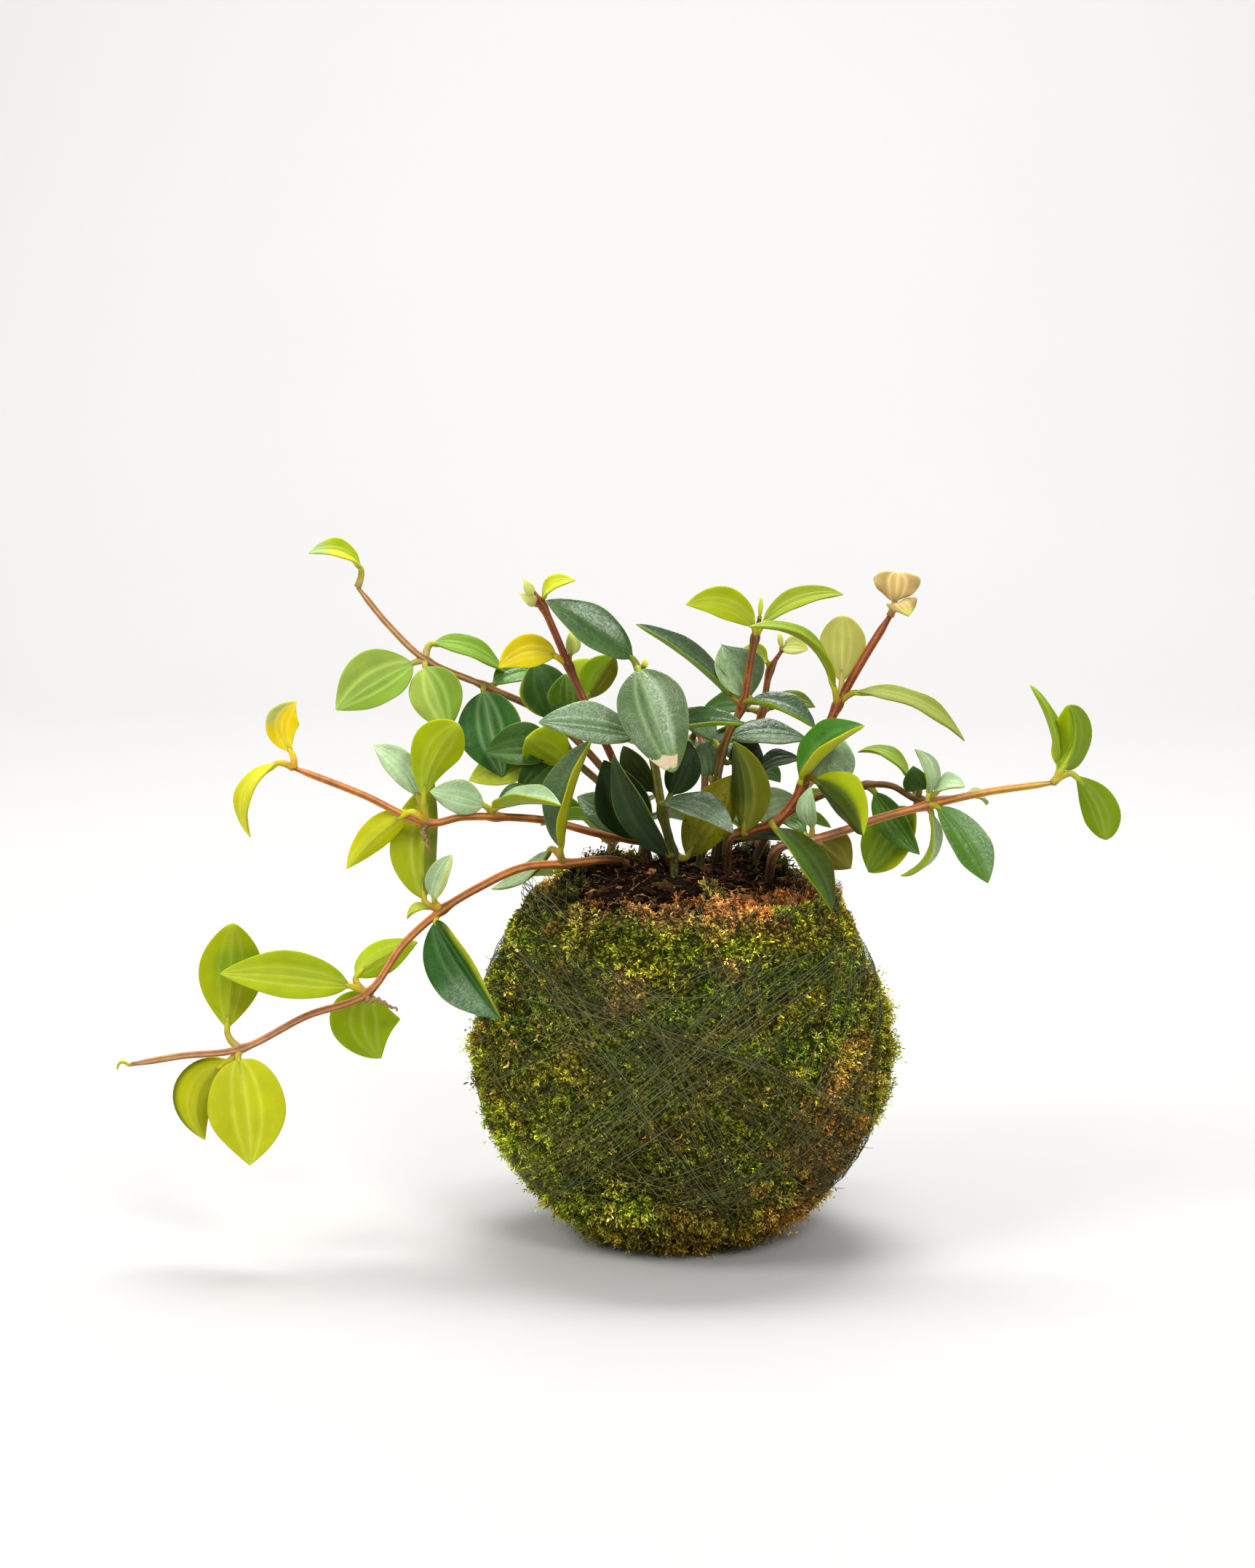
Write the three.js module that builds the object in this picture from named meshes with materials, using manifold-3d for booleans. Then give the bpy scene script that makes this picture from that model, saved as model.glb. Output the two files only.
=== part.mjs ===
// A kokedama: a house plant whose root ball is wrapped in living moss and bound with thread.
// Millimetres, +Z up. The origin is the middle of the flat spot that the ball rests on, and -Y is the front.
import * as THREE from 'three';
import { mergeVertices } from 'three/addons/utils/BufferGeometryUtils.js';
import Module from 'manifold-3d';

const wasm = await Module();
wasm.setup();

// Driving sizes of the ball
const BALL_RADIUS = 58.5; // the moss at its widest, without its loose tips
const BALL_MIDDLE = 53; // height of the widest place
const LOWER_HALF = 56; // the lower half is this deep before its foot is flattened
const UPPER_HALF = 58.5; // the upper half is this high before the mouth is cut
const COLLAR_RADIUS = 44.5; // near the mouth the moss stands up as a collar
const CREST = 99.5; // up to this height
const MOUTH_RADIUS = 42; // the crest of the moss round the soil
const MOSS_THICK = 7;
const MOSS_BULGE = 1.1; // how far the moss swells out between the threads
const BULGE_FROM = 6; // the swelling starts this far from a thread
const BULGE_FULL = 14; // and is whole from here on
const FOOT_EDGE = 12; // over the foot's edge the swelling sets in up to this height
const COLLAR_ROUND = 2.4; // the collar rounds over by this much
const COLLAR_FALL = 0.4; // and its top falls inwards by this much
const CLEARANCE = 0.3; // between pieces that touch
const MOUTH_WALL = 36; // radius of the wall between moss and soil at the mouth
const WALL_DROP = 9; // the wall stands steep down to this far below the soil's edge
const SOIL_SAG = 4; // the soil's edge lies this far below the crest
const SOIL_DOME = 7.5; // and its middle rises this far above its edge
const SOIL_LUMP = 0.7;
const SOIL_SIDES = 18; // the moss has twice as many, so the corners of both line up

// Driving sizes of the plant
const PETIOLE_RADIUS = 0.95;
const BLADE_THICK = 1.3; // of a blade at its rib
const EDGE_THICK = 0.7; // and at its edges
const ROOT_DEPTH = 9; // a stem stands this deep in the soil
const ROOT_RISE = 1.2; // and leaves it straight up to here
const HOLE_HEIGHT = 40; // a cutter this tall opens each stem's hole at the top
const HOLE_ROOM = 0.45; // a hole is wider than its stem by this much all round
const STEM_SIDES = 5;
const NODE_SWELL = 0.3; // a joint of the stem is thicker by this share
const JOINT_REACH = 0.15; // a swelling reaches this share of the way to the next station

// The view that the plant's stations are given in
const VIEW_DISTANCE = 900;
const VIEW_RISE = THREE.MathUtils.degToRad(12);
const EYE = new THREE.Vector3(
  0,
  -VIEW_DISTANCE * Math.cos(VIEW_RISE),
  BALL_MIDDLE + VIEW_DISTANCE * Math.sin(VIEW_RISE),
);

// A station as the front view shows it, from a little above: right of the ball's middle, up from it, and
// how far it lies behind the ball's axis.
function seen([right, up, depth]) {
  const onPlane = new THREE.Vector3(
    right,
    up * Math.sin(VIEW_RISE),
    BALL_MIDDLE + up * Math.cos(VIEW_RISE),
  );
  const reach = (depth - EYE.y) / (onPlane.y - EYE.y);
  return EYE.clone().lerp(onPlane, reach);
}

// A station is given as the front view shows it, or as the point itself
function toPoint(station) {
  return station.isVector3 ? station.clone() : seen(station);
}

// manifold-3d solids to and from three.js geometry
function toSolid(geometry) {
  const bare = geometry.clone();
  bare.deleteAttribute('normal');
  bare.deleteAttribute('uv');
  const merged = mergeVertices(bare, 1e-4);
  return new wasm.Manifold(
    new wasm.Mesh({
      numProp: 3,
      vertProperties: new Float32Array(merged.attributes.position.array),
      triVerts: new Uint32Array(merged.index.array),
    }),
  );
}

function toGeometry(solid) {
  const mesh = solid.getMesh();
  const geometry = new THREE.BufferGeometry();
  geometry.setAttribute('position', new THREE.BufferAttribute(mesh.vertProperties, 3));
  geometry.setIndex(new THREE.BufferAttribute(mesh.triVerts, 1));
  geometry.computeVertexNormals();
  return geometry;
}

function named(name, solid, colour, roughness) {
  const material = new THREE.MeshStandardMaterial({ color: colour, roughness, metalness: 0 });
  const mesh = new THREE.Mesh(toGeometry(solid), material);
  mesh.name = name;
  return mesh;
}

// A closed skin over a row of rings that have as many points each: a flat cap at its start, and at its end a
// cap too, or a fan to a point
function loft(rings, tipPoint) {
  const size = rings[0].length;
  const points = rings.flat();
  const faces = [];
  for (let r = 0; r + 1 < rings.length; r++) {
    for (let i = 0; i < size; i++) {
      const a = r * size + i;
      const b = r * size + ((i + 1) % size);
      faces.push(a, b, b + size, a, b + size, a + size);
    }
  }
  for (let i = 1; i + 1 < size; i++) faces.push(0, i + 1, i);
  const last = (rings.length - 1) * size;
  if (tipPoint) {
    points.push(tipPoint);
    const apex = points.length - 1;
    for (let i = 0; i < size; i++) faces.push(last + i, last + ((i + 1) % size), apex);
  } else {
    for (let i = 1; i + 1 < size; i++) faces.push(last, last + i, last + i + 1);
  }
  const geometry = new THREE.BufferGeometry().setFromPoints(points);
  geometry.setIndex(faces);
  return geometry;
}

// The ball's outline: how far the moss reaches from the axis at a height
function ballRadius(height) {
  const rise = height - BALL_MIDDLE;
  const share = Math.min(1, Math.abs(rise) / (rise > 0 ? UPPER_HALF : LOWER_HALF));
  const round = BALL_RADIUS * Math.sqrt(1 - share * share);
  return rise > 0 ? Math.max(round, COLLAR_RADIUS) : round;
}

const SOIL_EDGE = CREST - SOIL_SAG;

// The binding thread: turns round the ball, each in a plane that leans by tilt towards a heading
const THREAD_TURNS = [
  { tilt: 38, heading: 12, drop: 3 },
  { tilt: 33, heading: 95, drop: 0 },
  { tilt: 36, heading: 168, drop: 4 },
  { tilt: 38, heading: 240, drop: 0 },
  { tilt: 34, heading: 310, drop: 2 },
];
const THREAD_WIDE = 1.1;
const THREAD_HIGH = 0.9;
const THREAD_STEPS = 34;
const CHORD_SAG = 0.25; // the middle of each straight step lies this much nearer the ball than its ends

function turnAxis({ tilt, heading }) {
  const lean = THREE.MathUtils.degToRad(tilt);
  const way = THREE.MathUtils.degToRad(heading);
  return new THREE.Vector3(Math.sin(lean) * Math.cos(way), Math.sin(lean) * Math.sin(way), Math.cos(lean));
}

// How free a place on the ball is of thread, from 0 under a turn to 1 well clear of all
function freeOfThread(point) {
  const centre = new THREE.Vector3(0, 0, BALL_MIDDLE);
  let free = 1;
  for (const turn of THREAD_TURNS) {
    const away = Math.abs(point.clone().sub(centre).dot(turnAxis(turn)) + turn.drop);
    free = Math.min(free, THREE.MathUtils.smoothstep(away, BULGE_FROM, BULGE_FULL));
  }
  return free;
}

// The moss: a cup turned round the axis, swollen outside between the threads
function mossCover() {
  const upSteps = 11;
  const foot = ballRadius(0);
  const outline = [new THREE.Vector2(0, 0), new THREE.Vector2(foot / 2, 0), new THREE.Vector2(foot, 0)];
  const lowest = -Math.asin(BALL_MIDDLE / LOWER_HALF);
  const highest = Math.asin((CREST - COLLAR_ROUND - BALL_MIDDLE) / UPPER_HALF);
  for (let i = 1; i <= upSteps; i++) {
    const swing = lowest + ((highest - lowest) * i) / upSteps;
    const height = BALL_MIDDLE + (swing < 0 ? LOWER_HALF : UPPER_HALF) * Math.sin(swing);
    outline.push(new THREE.Vector2(ballRadius(height), height));
  }
  const outside = outline.length;
  outline.push(new THREE.Vector2(MOUTH_RADIUS, CREST));
  outline.push(new THREE.Vector2(MOUTH_RADIUS - COLLAR_ROUND, CREST - COLLAR_FALL));
  outline.push(...soilWall(MOSS_THICK));
  const geometry = new THREE.LatheGeometry(outline, 2 * SOIL_SIDES);
  const position = geometry.attributes.position;
  const size = outline.length;
  for (let i = 0; i < position.count; i++) {
    const rank = i % size;
    if (rank < 3 || rank >= outside) continue;
    const p = new THREE.Vector3(position.getX(i), -position.getZ(i), position.getY(i));
    const out = p.clone().sub(new THREE.Vector3(0, 0, BALL_MIDDLE)).normalize();
    const away = MOSS_BULGE * freeOfThread(p) * THREE.MathUtils.smoothstep(p.z, 0, FOOT_EDGE);
    p.addScaledVector(out, away);
    position.setXYZ(i, p.x, p.z, -p.y);
  }
  geometry.rotateX(Math.PI / 2);
  return toSolid(geometry);
}

// The wall between moss and soil, from the mouth down to the axis: steep at the mouth, and below it this far
// inside the ball's outline
function soilWall(inset) {
  const points = [new THREE.Vector2(MOUTH_WALL + MOSS_THICK - inset, SOIL_EDGE)];
  const steps = 6;
  const shrink = (BALL_RADIUS - inset) / BALL_RADIUS;
  const high = Math.asin((SOIL_EDGE - WALL_DROP - BALL_MIDDLE) / UPPER_HALF / shrink);
  const low = -Math.asin((BALL_MIDDLE - inset) / LOWER_HALF / shrink);
  for (let i = 0; i <= steps; i++) {
    const swing = high + ((low - high) * i) / steps;
    const rise = (swing < 0 ? LOWER_HALF : UPPER_HALF) * Math.sin(swing) * shrink;
    const radius = ballRadius(BALL_MIDDLE + rise / shrink) * shrink;
    points.push(new THREE.Vector2(radius, BALL_MIDDLE + rise));
  }
  points.push(new THREE.Vector2(0, inset));
  return points;
}

// The soil's top: a low dome with lumps
function soilTop(x, y) {
  const radius = Math.hypot(x, y);
  const share = Math.min(1, radius / MOUTH_WALL);
  const lumps = Math.sin(x * 0.55 + 1.3) * Math.cos(y * 0.47) + Math.sin(x * 0.23 - y * 0.36);
  const dome = SOIL_DOME * (1 - share * share);
  return SOIL_EDGE + dome + SOIL_LUMP * lumps * (1 - share ** 6);
}

// The soil ball, with a plain hole for each stem
function soilBall(roots) {
  const wall = soilWall(MOSS_THICK + CLEARANCE);
  const outline = wall.reverse();
  const rim = outline[outline.length - 1].x;
  const rings = 4;
  for (let i = 1; i < rings; i++) outline.push(new THREE.Vector2(rim * (1 - i / rings), SOIL_EDGE));
  outline.push(new THREE.Vector2(0, SOIL_EDGE));
  const geometry = new THREE.LatheGeometry(outline, SOIL_SIDES);
  const position = geometry.attributes.position;
  for (let i = 0; i < position.count; i++) {
    const x = position.getX(i);
    const z = position.getZ(i);
    const onTop = position.getY(i) > SOIL_EDGE - 0.01 && Math.hypot(x, z) < rim - 0.01;
    if (onTop) position.setY(i, soilTop(x, -z));
  }
  geometry.rotateX(Math.PI / 2);
  let soil = toSolid(geometry);
  for (const { x, y, radius } of roots) {
    const floor = soilTop(x, y) - ROOT_DEPTH - CLEARANCE;
    const hole = new THREE.CylinderGeometry(radius, radius, HOLE_HEIGHT, 8).rotateX(Math.PI / 2);
    hole.translate(x, y, floor + HOLE_HEIGHT / 2);
    soil = soil.subtract(toSolid(hole));
  }
  return soil;
}

// One turn of thread, a ring that hugs the moss
function threadTurn(turn) {
  const axis = turnAxis(turn);
  const centre = new THREE.Vector3(0, 0, BALL_MIDDLE).addScaledVector(axis, -turn.drop);
  const first = new THREE.Vector3(0, 0, 1).cross(axis).normalize();
  const second = axis.clone().cross(first);
  const rings = [];
  for (let i = 0; i < THREAD_STEPS; i++) {
    const angle = (i / THREAD_STEPS) * 2 * Math.PI;
    const way = first.clone().multiplyScalar(Math.cos(angle)).addScaledVector(second, Math.sin(angle));
    const inner = hugging(centre, way) + CLEARANCE + CHORD_SAG;
    const corner = (out, side) => centre.clone().addScaledVector(way, inner + out).addScaledVector(axis, side);
    rings.push([
      corner(0, -THREAD_WIDE / 2),
      corner(0, THREAD_WIDE / 2),
      corner(THREAD_HIGH, 0),
    ]);
  }
  return toSolid(closedTube(rings));
}

// How far the ball's outline lies from a point inside it, along a way
function hugging(from, way) {
  let near = 20;
  let far = 90;
  for (let i = 0; i < 30; i++) {
    const middle = (near + far) / 2;
    const p = from.clone().addScaledVector(way, middle);
    if (Math.hypot(p.x, p.y) < ballRadius(p.z)) near = middle;
    else far = middle;
  }
  return near;
}

function closedTube(rings) {
  const size = rings[0].length;
  const count = rings.length;
  const faces = [];
  for (let r = 0; r < count; r++) {
    for (let i = 0; i < size; i++) {
      const a = r * size + i;
      const b = r * size + ((i + 1) % size);
      const c = ((r + 1) % count) * size + ((i + 1) % size);
      const d = ((r + 1) % count) * size + i;
      faces.push(a, b, c, a, c, d);
    }
  }
  const geometry = new THREE.BufferGeometry().setFromPoints(rings.flat());
  geometry.setIndex(faces);
  return geometry;
}

function outward(solid) {
  return solid.volume() < 0 ? flipped(solid) : solid;
}

function flipped(solid) {
  const geometry = toGeometry(solid);
  const order = geometry.index.array;
  for (let i = 0; i < order.length; i += 3) [order[i + 1], order[i + 2]] = [order[i + 2], order[i + 1]];
  return toSolid(geometry);
}

// A leaf: at is its station on the stem, base and tip are the ends of its blade as seen() takes them, and face
// is the way its upper side looks. fold is the angle of each half to the blade's plane, in degrees; bow lifts
// the rib's middle off its chord and sway bends it sideways, in millimetres; belly is where it is widest.
function leaf(at, base, tip, width, face, shape = {}) {
  return { at, base, tip, width, face, fold: 20, bow: 1.5, sway: 0, belly: 0.46, ...shape };
}

// The blade's half width at a share of its length, for a half width of 1
function bladeShare(t, belly) {
  const bend = Math.log(0.5) / Math.log(belly);
  return Math.sin(Math.PI * t ** bend) ** 0.88;
}

// The ring of a blade: three points of the upper side from left to right, and three of the underside back
function bladeRing(centre, along, face, half, thick, fold) {
  const up = face.clone().addScaledVector(along, -face.dot(along)).normalize();
  const side = along.clone().cross(up);
  const tilt = THREE.MathUtils.degToRad(fold);
  const place = (across, lift) =>
    centre
      .clone()
      .addScaledVector(side, across * half * Math.cos(tilt))
      .addScaledVector(up, Math.abs(across) * half * Math.sin(tilt) + lift);
  const rim = EDGE_THICK / 2;
  const skin = thick / 2;
  return [place(-1, rim), place(0, skin), place(1, rim), place(1, -rim), place(0, -skin), place(-1, -rim)];
}

// A wide blade is drawn with more rings than a small one
function bladeSteps(width) {
  if (width < 7) return [0.3, 0.7];
  return width < 15 ? [0.14, 0.46, 0.8] : [0.1, 0.34, 0.62, 0.86];
}

function leafSolid(spec, joint) {
  const base = toPoint(spec.base);
  const tip = toPoint(spec.tip);
  const chord = tip.clone().sub(base);
  const along = chord.clone().normalize();
  const face = new THREE.Vector3(...spec.face).normalize();
  const up = face.clone().addScaledVector(along, -face.dot(along)).normalize();
  const side = along.clone().cross(up);
  const rib = (t) =>
    base
      .clone()
      .addScaledVector(chord, t)
      .addScaledVector(up, spec.bow * 4 * t * (1 - t))
      .addScaledVector(side, spec.sway * 4 * t * (1 - t));
  const shares = bladeSteps(spec.width);
  const path = [joint.clone(), base.clone(), ...shares.map(rib), tip];
  const halves = [PETIOLE_RADIUS, PETIOLE_RADIUS];
  for (const t of shares) halves.push((spec.width / 2) * bladeShare(t, spec.belly));
  const rings = halves.map((half, i) => {
    const before = path[Math.max(0, i - 1)];
    const heading = path[i + 1].clone().sub(before).normalize();
    const isPetiole = i < 2;
    const thick = isPetiole ? PETIOLE_RADIUS * 1.9 : BLADE_THICK;
    return bladeRing(path[i], heading, up, half, thick, isPetiole ? 0 : spec.fold);
  });
  return outward(toSolid(loft(rings, tip)));
}

// A stem with swollen joints, from its root in the soil through its stations
function stemSolid(spray) {
  const [x, y] = spray.root;
  const ground = soilTop(x, y);
  const stations = spray.stem.map(toPoint);
  const rises = [-ROOT_DEPTH, -ROOT_DEPTH / 2, ROOT_RISE];
  const start = rises.map((rise) => new THREE.Vector3(x, y, ground + rise));
  const curve = new THREE.CatmullRomCurve3([...start, ...stations], false, 'centripetal');
  const spans = start.length + stations.length - 1;
  const joints = new Set(spray.leaves.map((one) => one.at + start.length));
  const rings = [];
  const steps = [];
  for (let i = 0; i <= spans; i++) {
    if (joints.has(i)) steps.push(i - JOINT_REACH, i, i + JOINT_REACH);
    else steps.push(i);
  }
  let side = new THREE.Vector3(1, 0, 0);
  for (const step of steps.filter((s) => s >= 0 && s <= spans)) {
    const t = step / spans;
    const along = curve.getTangent(t);
    side = side.clone().addScaledVector(along, -side.dot(along)).normalize();
    const other = along.clone().cross(side);
    const thin = THREE.MathUtils.lerp(spray.thick[0], spray.thick[1], t);
    const radius = joints.has(step) ? thin * (1 + NODE_SWELL) : thin;
    const centre = curve.getPoint(t);
    const ring = [];
    for (let i = 0; i < STEM_SIDES; i++) {
      const angle = (i / STEM_SIDES) * 2 * Math.PI;
      ring.push(
        centre
          .clone()
          .addScaledVector(side, radius * Math.cos(angle))
          .addScaledVector(other, radius * Math.sin(angle)),
      );
    }
    rings.push(ring);
  }
  return outward(toSolid(loft(rings)));
}

function spraySolid(spray) {
  let solid = stemSolid(spray);
  for (const one of spray.leaves) {
    solid = solid.add(leafSolid(one, toPoint(spray.stem[one.at])));
  }
  return solid;
}

// The leafy stems. root is where each leaves the soil, as x and y; the rest is as seen().
const SPRAYS = [
  {
    name: 'spray_trailing_left',
    root: [-15, 3],
    thick: [1.5, 1.05],
    stem: [
      [-19, 52.2, 1],
      [-33, 51.2, -4],
      [-45, 50, -9],
      [-56, 45, -13],
      [-67, 38.3, -18],
      [-78, 28.5, -22],
      [-88.3, 14.5, -26],
      [-105, 8.3, -28],
      [-123.5, -1, -30],
      [-140, -3, -31],
      [-154, -5.4, -32],
    ],
    leaves: [
      leaf(1, [-34, 56, -8], [-25.5, 86, -11], 18, [-0.9, -0.4, 0.1], { fold: 36 }),
      leaf(1, [-37.5, 54.5, 1], [-53.5, 44, 2], 10, [-0.5, -0.35, 0.8], { bow: 2 }),
      leaf(4, [-72.5, 41.5, -19], [-69.8, 75, -5], 17.5, [-0.5, 0.85, 0], { fold: 32, sway: 1.2 }),
      leaf(4, [-69.5, 41.5, -19], [-64.5, 53.8, -19], 8, [-0.3, -0.9, 0.2], { fold: 35 }),
      leaf(4, [-71, 38.8, -17], [-77, 35.5, -15], 4, [0, -0.5, 0.8]),
      leaf(4, [-69, 34.5, -20], [-50.5, 7.5, -38], 18, [-0.6, -0.8, 0.1], { fold: 30, bow: 2.5 }),
      leaf(6, [-91, 19.5, -24], [-74, 29, -16], 10, [-0.2, 0.8, -0.5], { fold: 15, sway: 1.8 }),
      leaf(6, [-93.5, 16.8, -28], [-129.5, 20, -34], 14, [0, -0.85, 0.5], { fold: 14, bow: 3 }),
      leaf(6, [-87.3, 14.5, -23], [-84, -3.5, -20], 20, [0.1, 1, 0.1], { fold: 10, sway: -3.5 }),
      leaf(8, [-127.3, 4.5, -29], [-126, 34.3, -26], 18, [-0.1, 0.9, -0.2], { fold: 14, belly: 0.52 }),
      leaf(8, [-124, -4, -31], [-120.5, -33.5, -34], 21.5, [0.1, -1, 0.2], { fold: 12, sway: -1 }),
      leaf(8, [-127, -4.5, -29], [-133, -26.5, -27], 13, [-0.3, 0.9, 0], { sway: -5.5 }),
      leaf(10, [-154.6, -5.6, -32], [-158, -7, -32], 1.8, [0, 0, 1]),
    ],
  },
  {
    name: 'spray_middle_left',
    root: [-5, 7],
    thick: [1.45, 1.15],
    stem: [
      [-8, 56.5, 7.5],
      [-15, 58, 7],
      [-25, 60, 5],
      [-38, 63.3, 1],
      [-52.5, 64.3, -6],
      [-62, 64.2, -11],
      [-72, 62.5, -16],
      [-90, 70.5, -18],
      [-109.5, 78, -20],
    ],
    leaves: [
      leaf(4, [-53, 66.8, -8], [-34, 67.5, -20], 12, [0, -0.25, 1], { fold: 36 }),
      leaf(4, [-56, 67.7, -8], [-71, 71.5, -12], 10, [0, -0.9, 0.4], { fold: 10 }),
      leaf(4, [-51.5, 67.5, -3], [-41, 71, 2], 8, [0, -0.7, 0.6]),
      leaf(6, [-72.7, 67.8, -17], [-62.8, 90.5, -20], 14.5, [-0.2, 0.95, 0.1], {
        belly: 0.6,
        fold: 12,
        sway: 2.6,
      }),
      leaf(6, [-74.5, 70.5, -13], [-87, 84.5, -7], 9, [-0.2, -0.6, 0.7], { sway: 1.2 }),
      leaf(6, [-77, 65.5, -18.5], [-94.3, 49.5, -17], 9, [0.3, 0.8, 0.4], { bow: 3, sway: -1 }),
      leaf(8, [-110.5, 83, -20], [-109, 97, -22], 10, [0.3, -0.9, 0], { bow: -2, belly: 0.58, sway: -3 }),
      leaf(8, [-115, 79, -20], [-121.5, 58.5, -22], 9, [-0.75, -0.6, 0.2], { bow: 5 }),
    ],
  },
  {
    name: 'spray_upper_left',
    root: [-9, 19],
    thick: [1.45, 1.0],
    stem: [
      [-14, 66, 19],
      [-24, 80, 21],
      [-38, 93, 22],
      [-55.5, 101.3, 22],
      [-72.5, 108.8, 20],
      [-83.2, 118.8, 20],
      [-92, 129.5, 20],
    ],
    leaves: [
      leaf(3, [-56, 99.5, 19], [-50.5, 75.5, 13], 19.5, [-0.1, -1, 0.2]),
      leaf(3, [-53, 102, 25], [-42, 105, 33], 10, [0, -0.6, 0.7]),
      leaf(4, [-76.5, 107.7, 19], [-97.8, 94.5, 12], 19, [-0.1, -0.85, 0.5]),
      leaf(4, [-72.5, 106.5, 18], [-66, 88.5, 12], 16, [0.1, -1, 0.3]),
      leaf(4, [-70, 113.5, 22], [-50, 105, 28], 12, [0.2, -0.45, 0.9], { fold: 12 }),
      leaf(6, [-91.5, 135.5, 20], [-106, 139.2, 14], 9, [0, -0.6, 0.8], { bow: 3 }),
    ],
  },
  {
    name: 'spray_inner_left',
    root: [-9, 12],
    thick: [1.4, 1.1],
    stem: [
      [-13, 62, 12],
      [-22, 73, 12],
      [-32, 83, 12],
      [-33, 94, 17],
      [-31, 98.5, 20],
    ],
    leaves: [
      leaf(2, [-36, 84, 12], [-55.5, 82.5, 8], 14.5, [0, -0.8, 0.5]),
      leaf(2, [-35, 81, 10], [-46, 71, 4], 12, [0, -0.9, 0.2]),
      leaf(2, [-32.5, 79.5, 6.5], [-44, 86.5, 1], 14.5, [0.2, 0.9, -0.1]),
      leaf(2, [-36, 82.5, 15], [-60, 74.5, 18], 13, [0, -0.8, 0.4]),
      leaf(3, [-36, 92.5, 18], [-41.5, 108, 22.5], 14.9, [0, -1, 0.1]),
      leaf(3, [-32.5, 96, 14], [-33, 105, 10], 11, [0, -1, 0.1]),
      leaf(4, [-30, 98.5, 23], [-23, 107.5, 30], 14, [0, -0.9, 0.3]),
      leaf(4, [-27, 98, 18], [-19, 110, 15], 11, [-0.3, 0.9, 0]),
    ],
  },
  {
    name: 'spray_red_left',
    root: [-10, 2],
    thick: [1.4, 1.15],
    stem: [
      [-11, 62, 1],
      [-16, 73, 1],
      [-22, 86, 1],
      [-28, 98, 1],
      [-32, 107, 1],
      [-36, 116.5, 1],
      [-39.6, 124.3, 1],
      [-43, 129.3, 1],
    ],
    leaves: [
      leaf(0, [-12.5, 58.5, -4], [-22, 80.5, -8], 16.5, [-0.2, -0.95, 0.1], { sway: 0.8 }),
      leaf(0, [-15, 60.5, 4], [-29.5, 70, 5], 12, [-0.1, -0.8, 0.6]),
      leaf(4, [-36, 110, 0], [-51.8, 106.5, -4], 10, [0, -1, 0.2], { sway: 2.5 }),
      leaf(4, [-31, 110.5, 2.5], [-31.5, 117.3, 4], 6, [0, -1, 0]),
      leaf(6, [-41.5, 124.6, 1], [-46.8, 128, -1], 4, [0, -1, 0.3]),
      leaf(6, [-39.3, 126.5, 1], [-30.2, 131.5, -3], 6, [0, -0.7, 0.7], { bow: 2.5 }),
      leaf(7, [-43.4, 129.6, 1], [-45.4, 132.6, 1], 2.6, [0, -1, 0]),
    ],
  },
  {
    name: 'spray_front_centre',
    root: [-2, -9],
    thick: [1.6, 1.25],
    stem: [
      [-2.5, 54, -9],
      [-5.3, 65, -10],
      [-7.5, 78, -10],
      [-9.5, 88, -9],
      [-11.3, 98, -9],
      [-12.5, 106.3, -9],
    ],
    leaves: [
      leaf(0, [-4, 54, -12], [-19.3, 82, -20], 12.5, [-0.6, -0.75, 0.3], { fold: 32 }),
      leaf(0, [1.8, 53.5, -8], [15, 76.5, -6], 14, [0, 1, 0]),
      leaf(1, [-5.2, 68.3, -13.5], [14.5, 59.8, -25], 13.5, [0.1, -0.4, 0.9], { fold: 12, bow: 3 }),
      leaf(1, [-8, 72, -7], [-16.5, 84.5, -4], 9, [-0.5, -0.8, 0.2]),
      leaf(1, [-3, 71, -8], [2, 86, -6], 11, [0.3, -0.9, 0]),
      leaf(3, [-13.5, 87.3, -11], [-40.5, 91, -19], 14.9, [0, -0.7, 0.7], { fold: 14 }),
      leaf(3, [-5.5, 88, -9], [17.5, 90.5, -13], 12, [0, -0.35, 0.95], { fold: 28 }),
      leaf(5, [-14.4, 109.6, -9], [-38.6, 125.8, -13], 12.8, [0.25, -0.85, 0.5], { fold: 14 }),
      leaf(5, [-12.2, 105.8, -12], [-2.2, 76.8, -23], 19.2, [0, -1, 0.25], { fold: 12, bow: 3, belly: 0.4 }),
      leaf(5, [-10.9, 106.9, -9], [-10.2, 109, -9], 2, [0, -1, 0]),
    ],
  },
  {
    name: 'spray_centre_right',
    root: [5, 0],
    thick: [1.5, 1.15],
    stem: [
      [6.5, 60, 0],
      [9.5, 73, 0],
      [11.3, 83, 0],
      [13.5, 89, 0],
      [17, 96, 0],
      [19, 107, -1],
      [20.5, 115, -1],
      [21.8, 120.5, -1],
    ],
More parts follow.
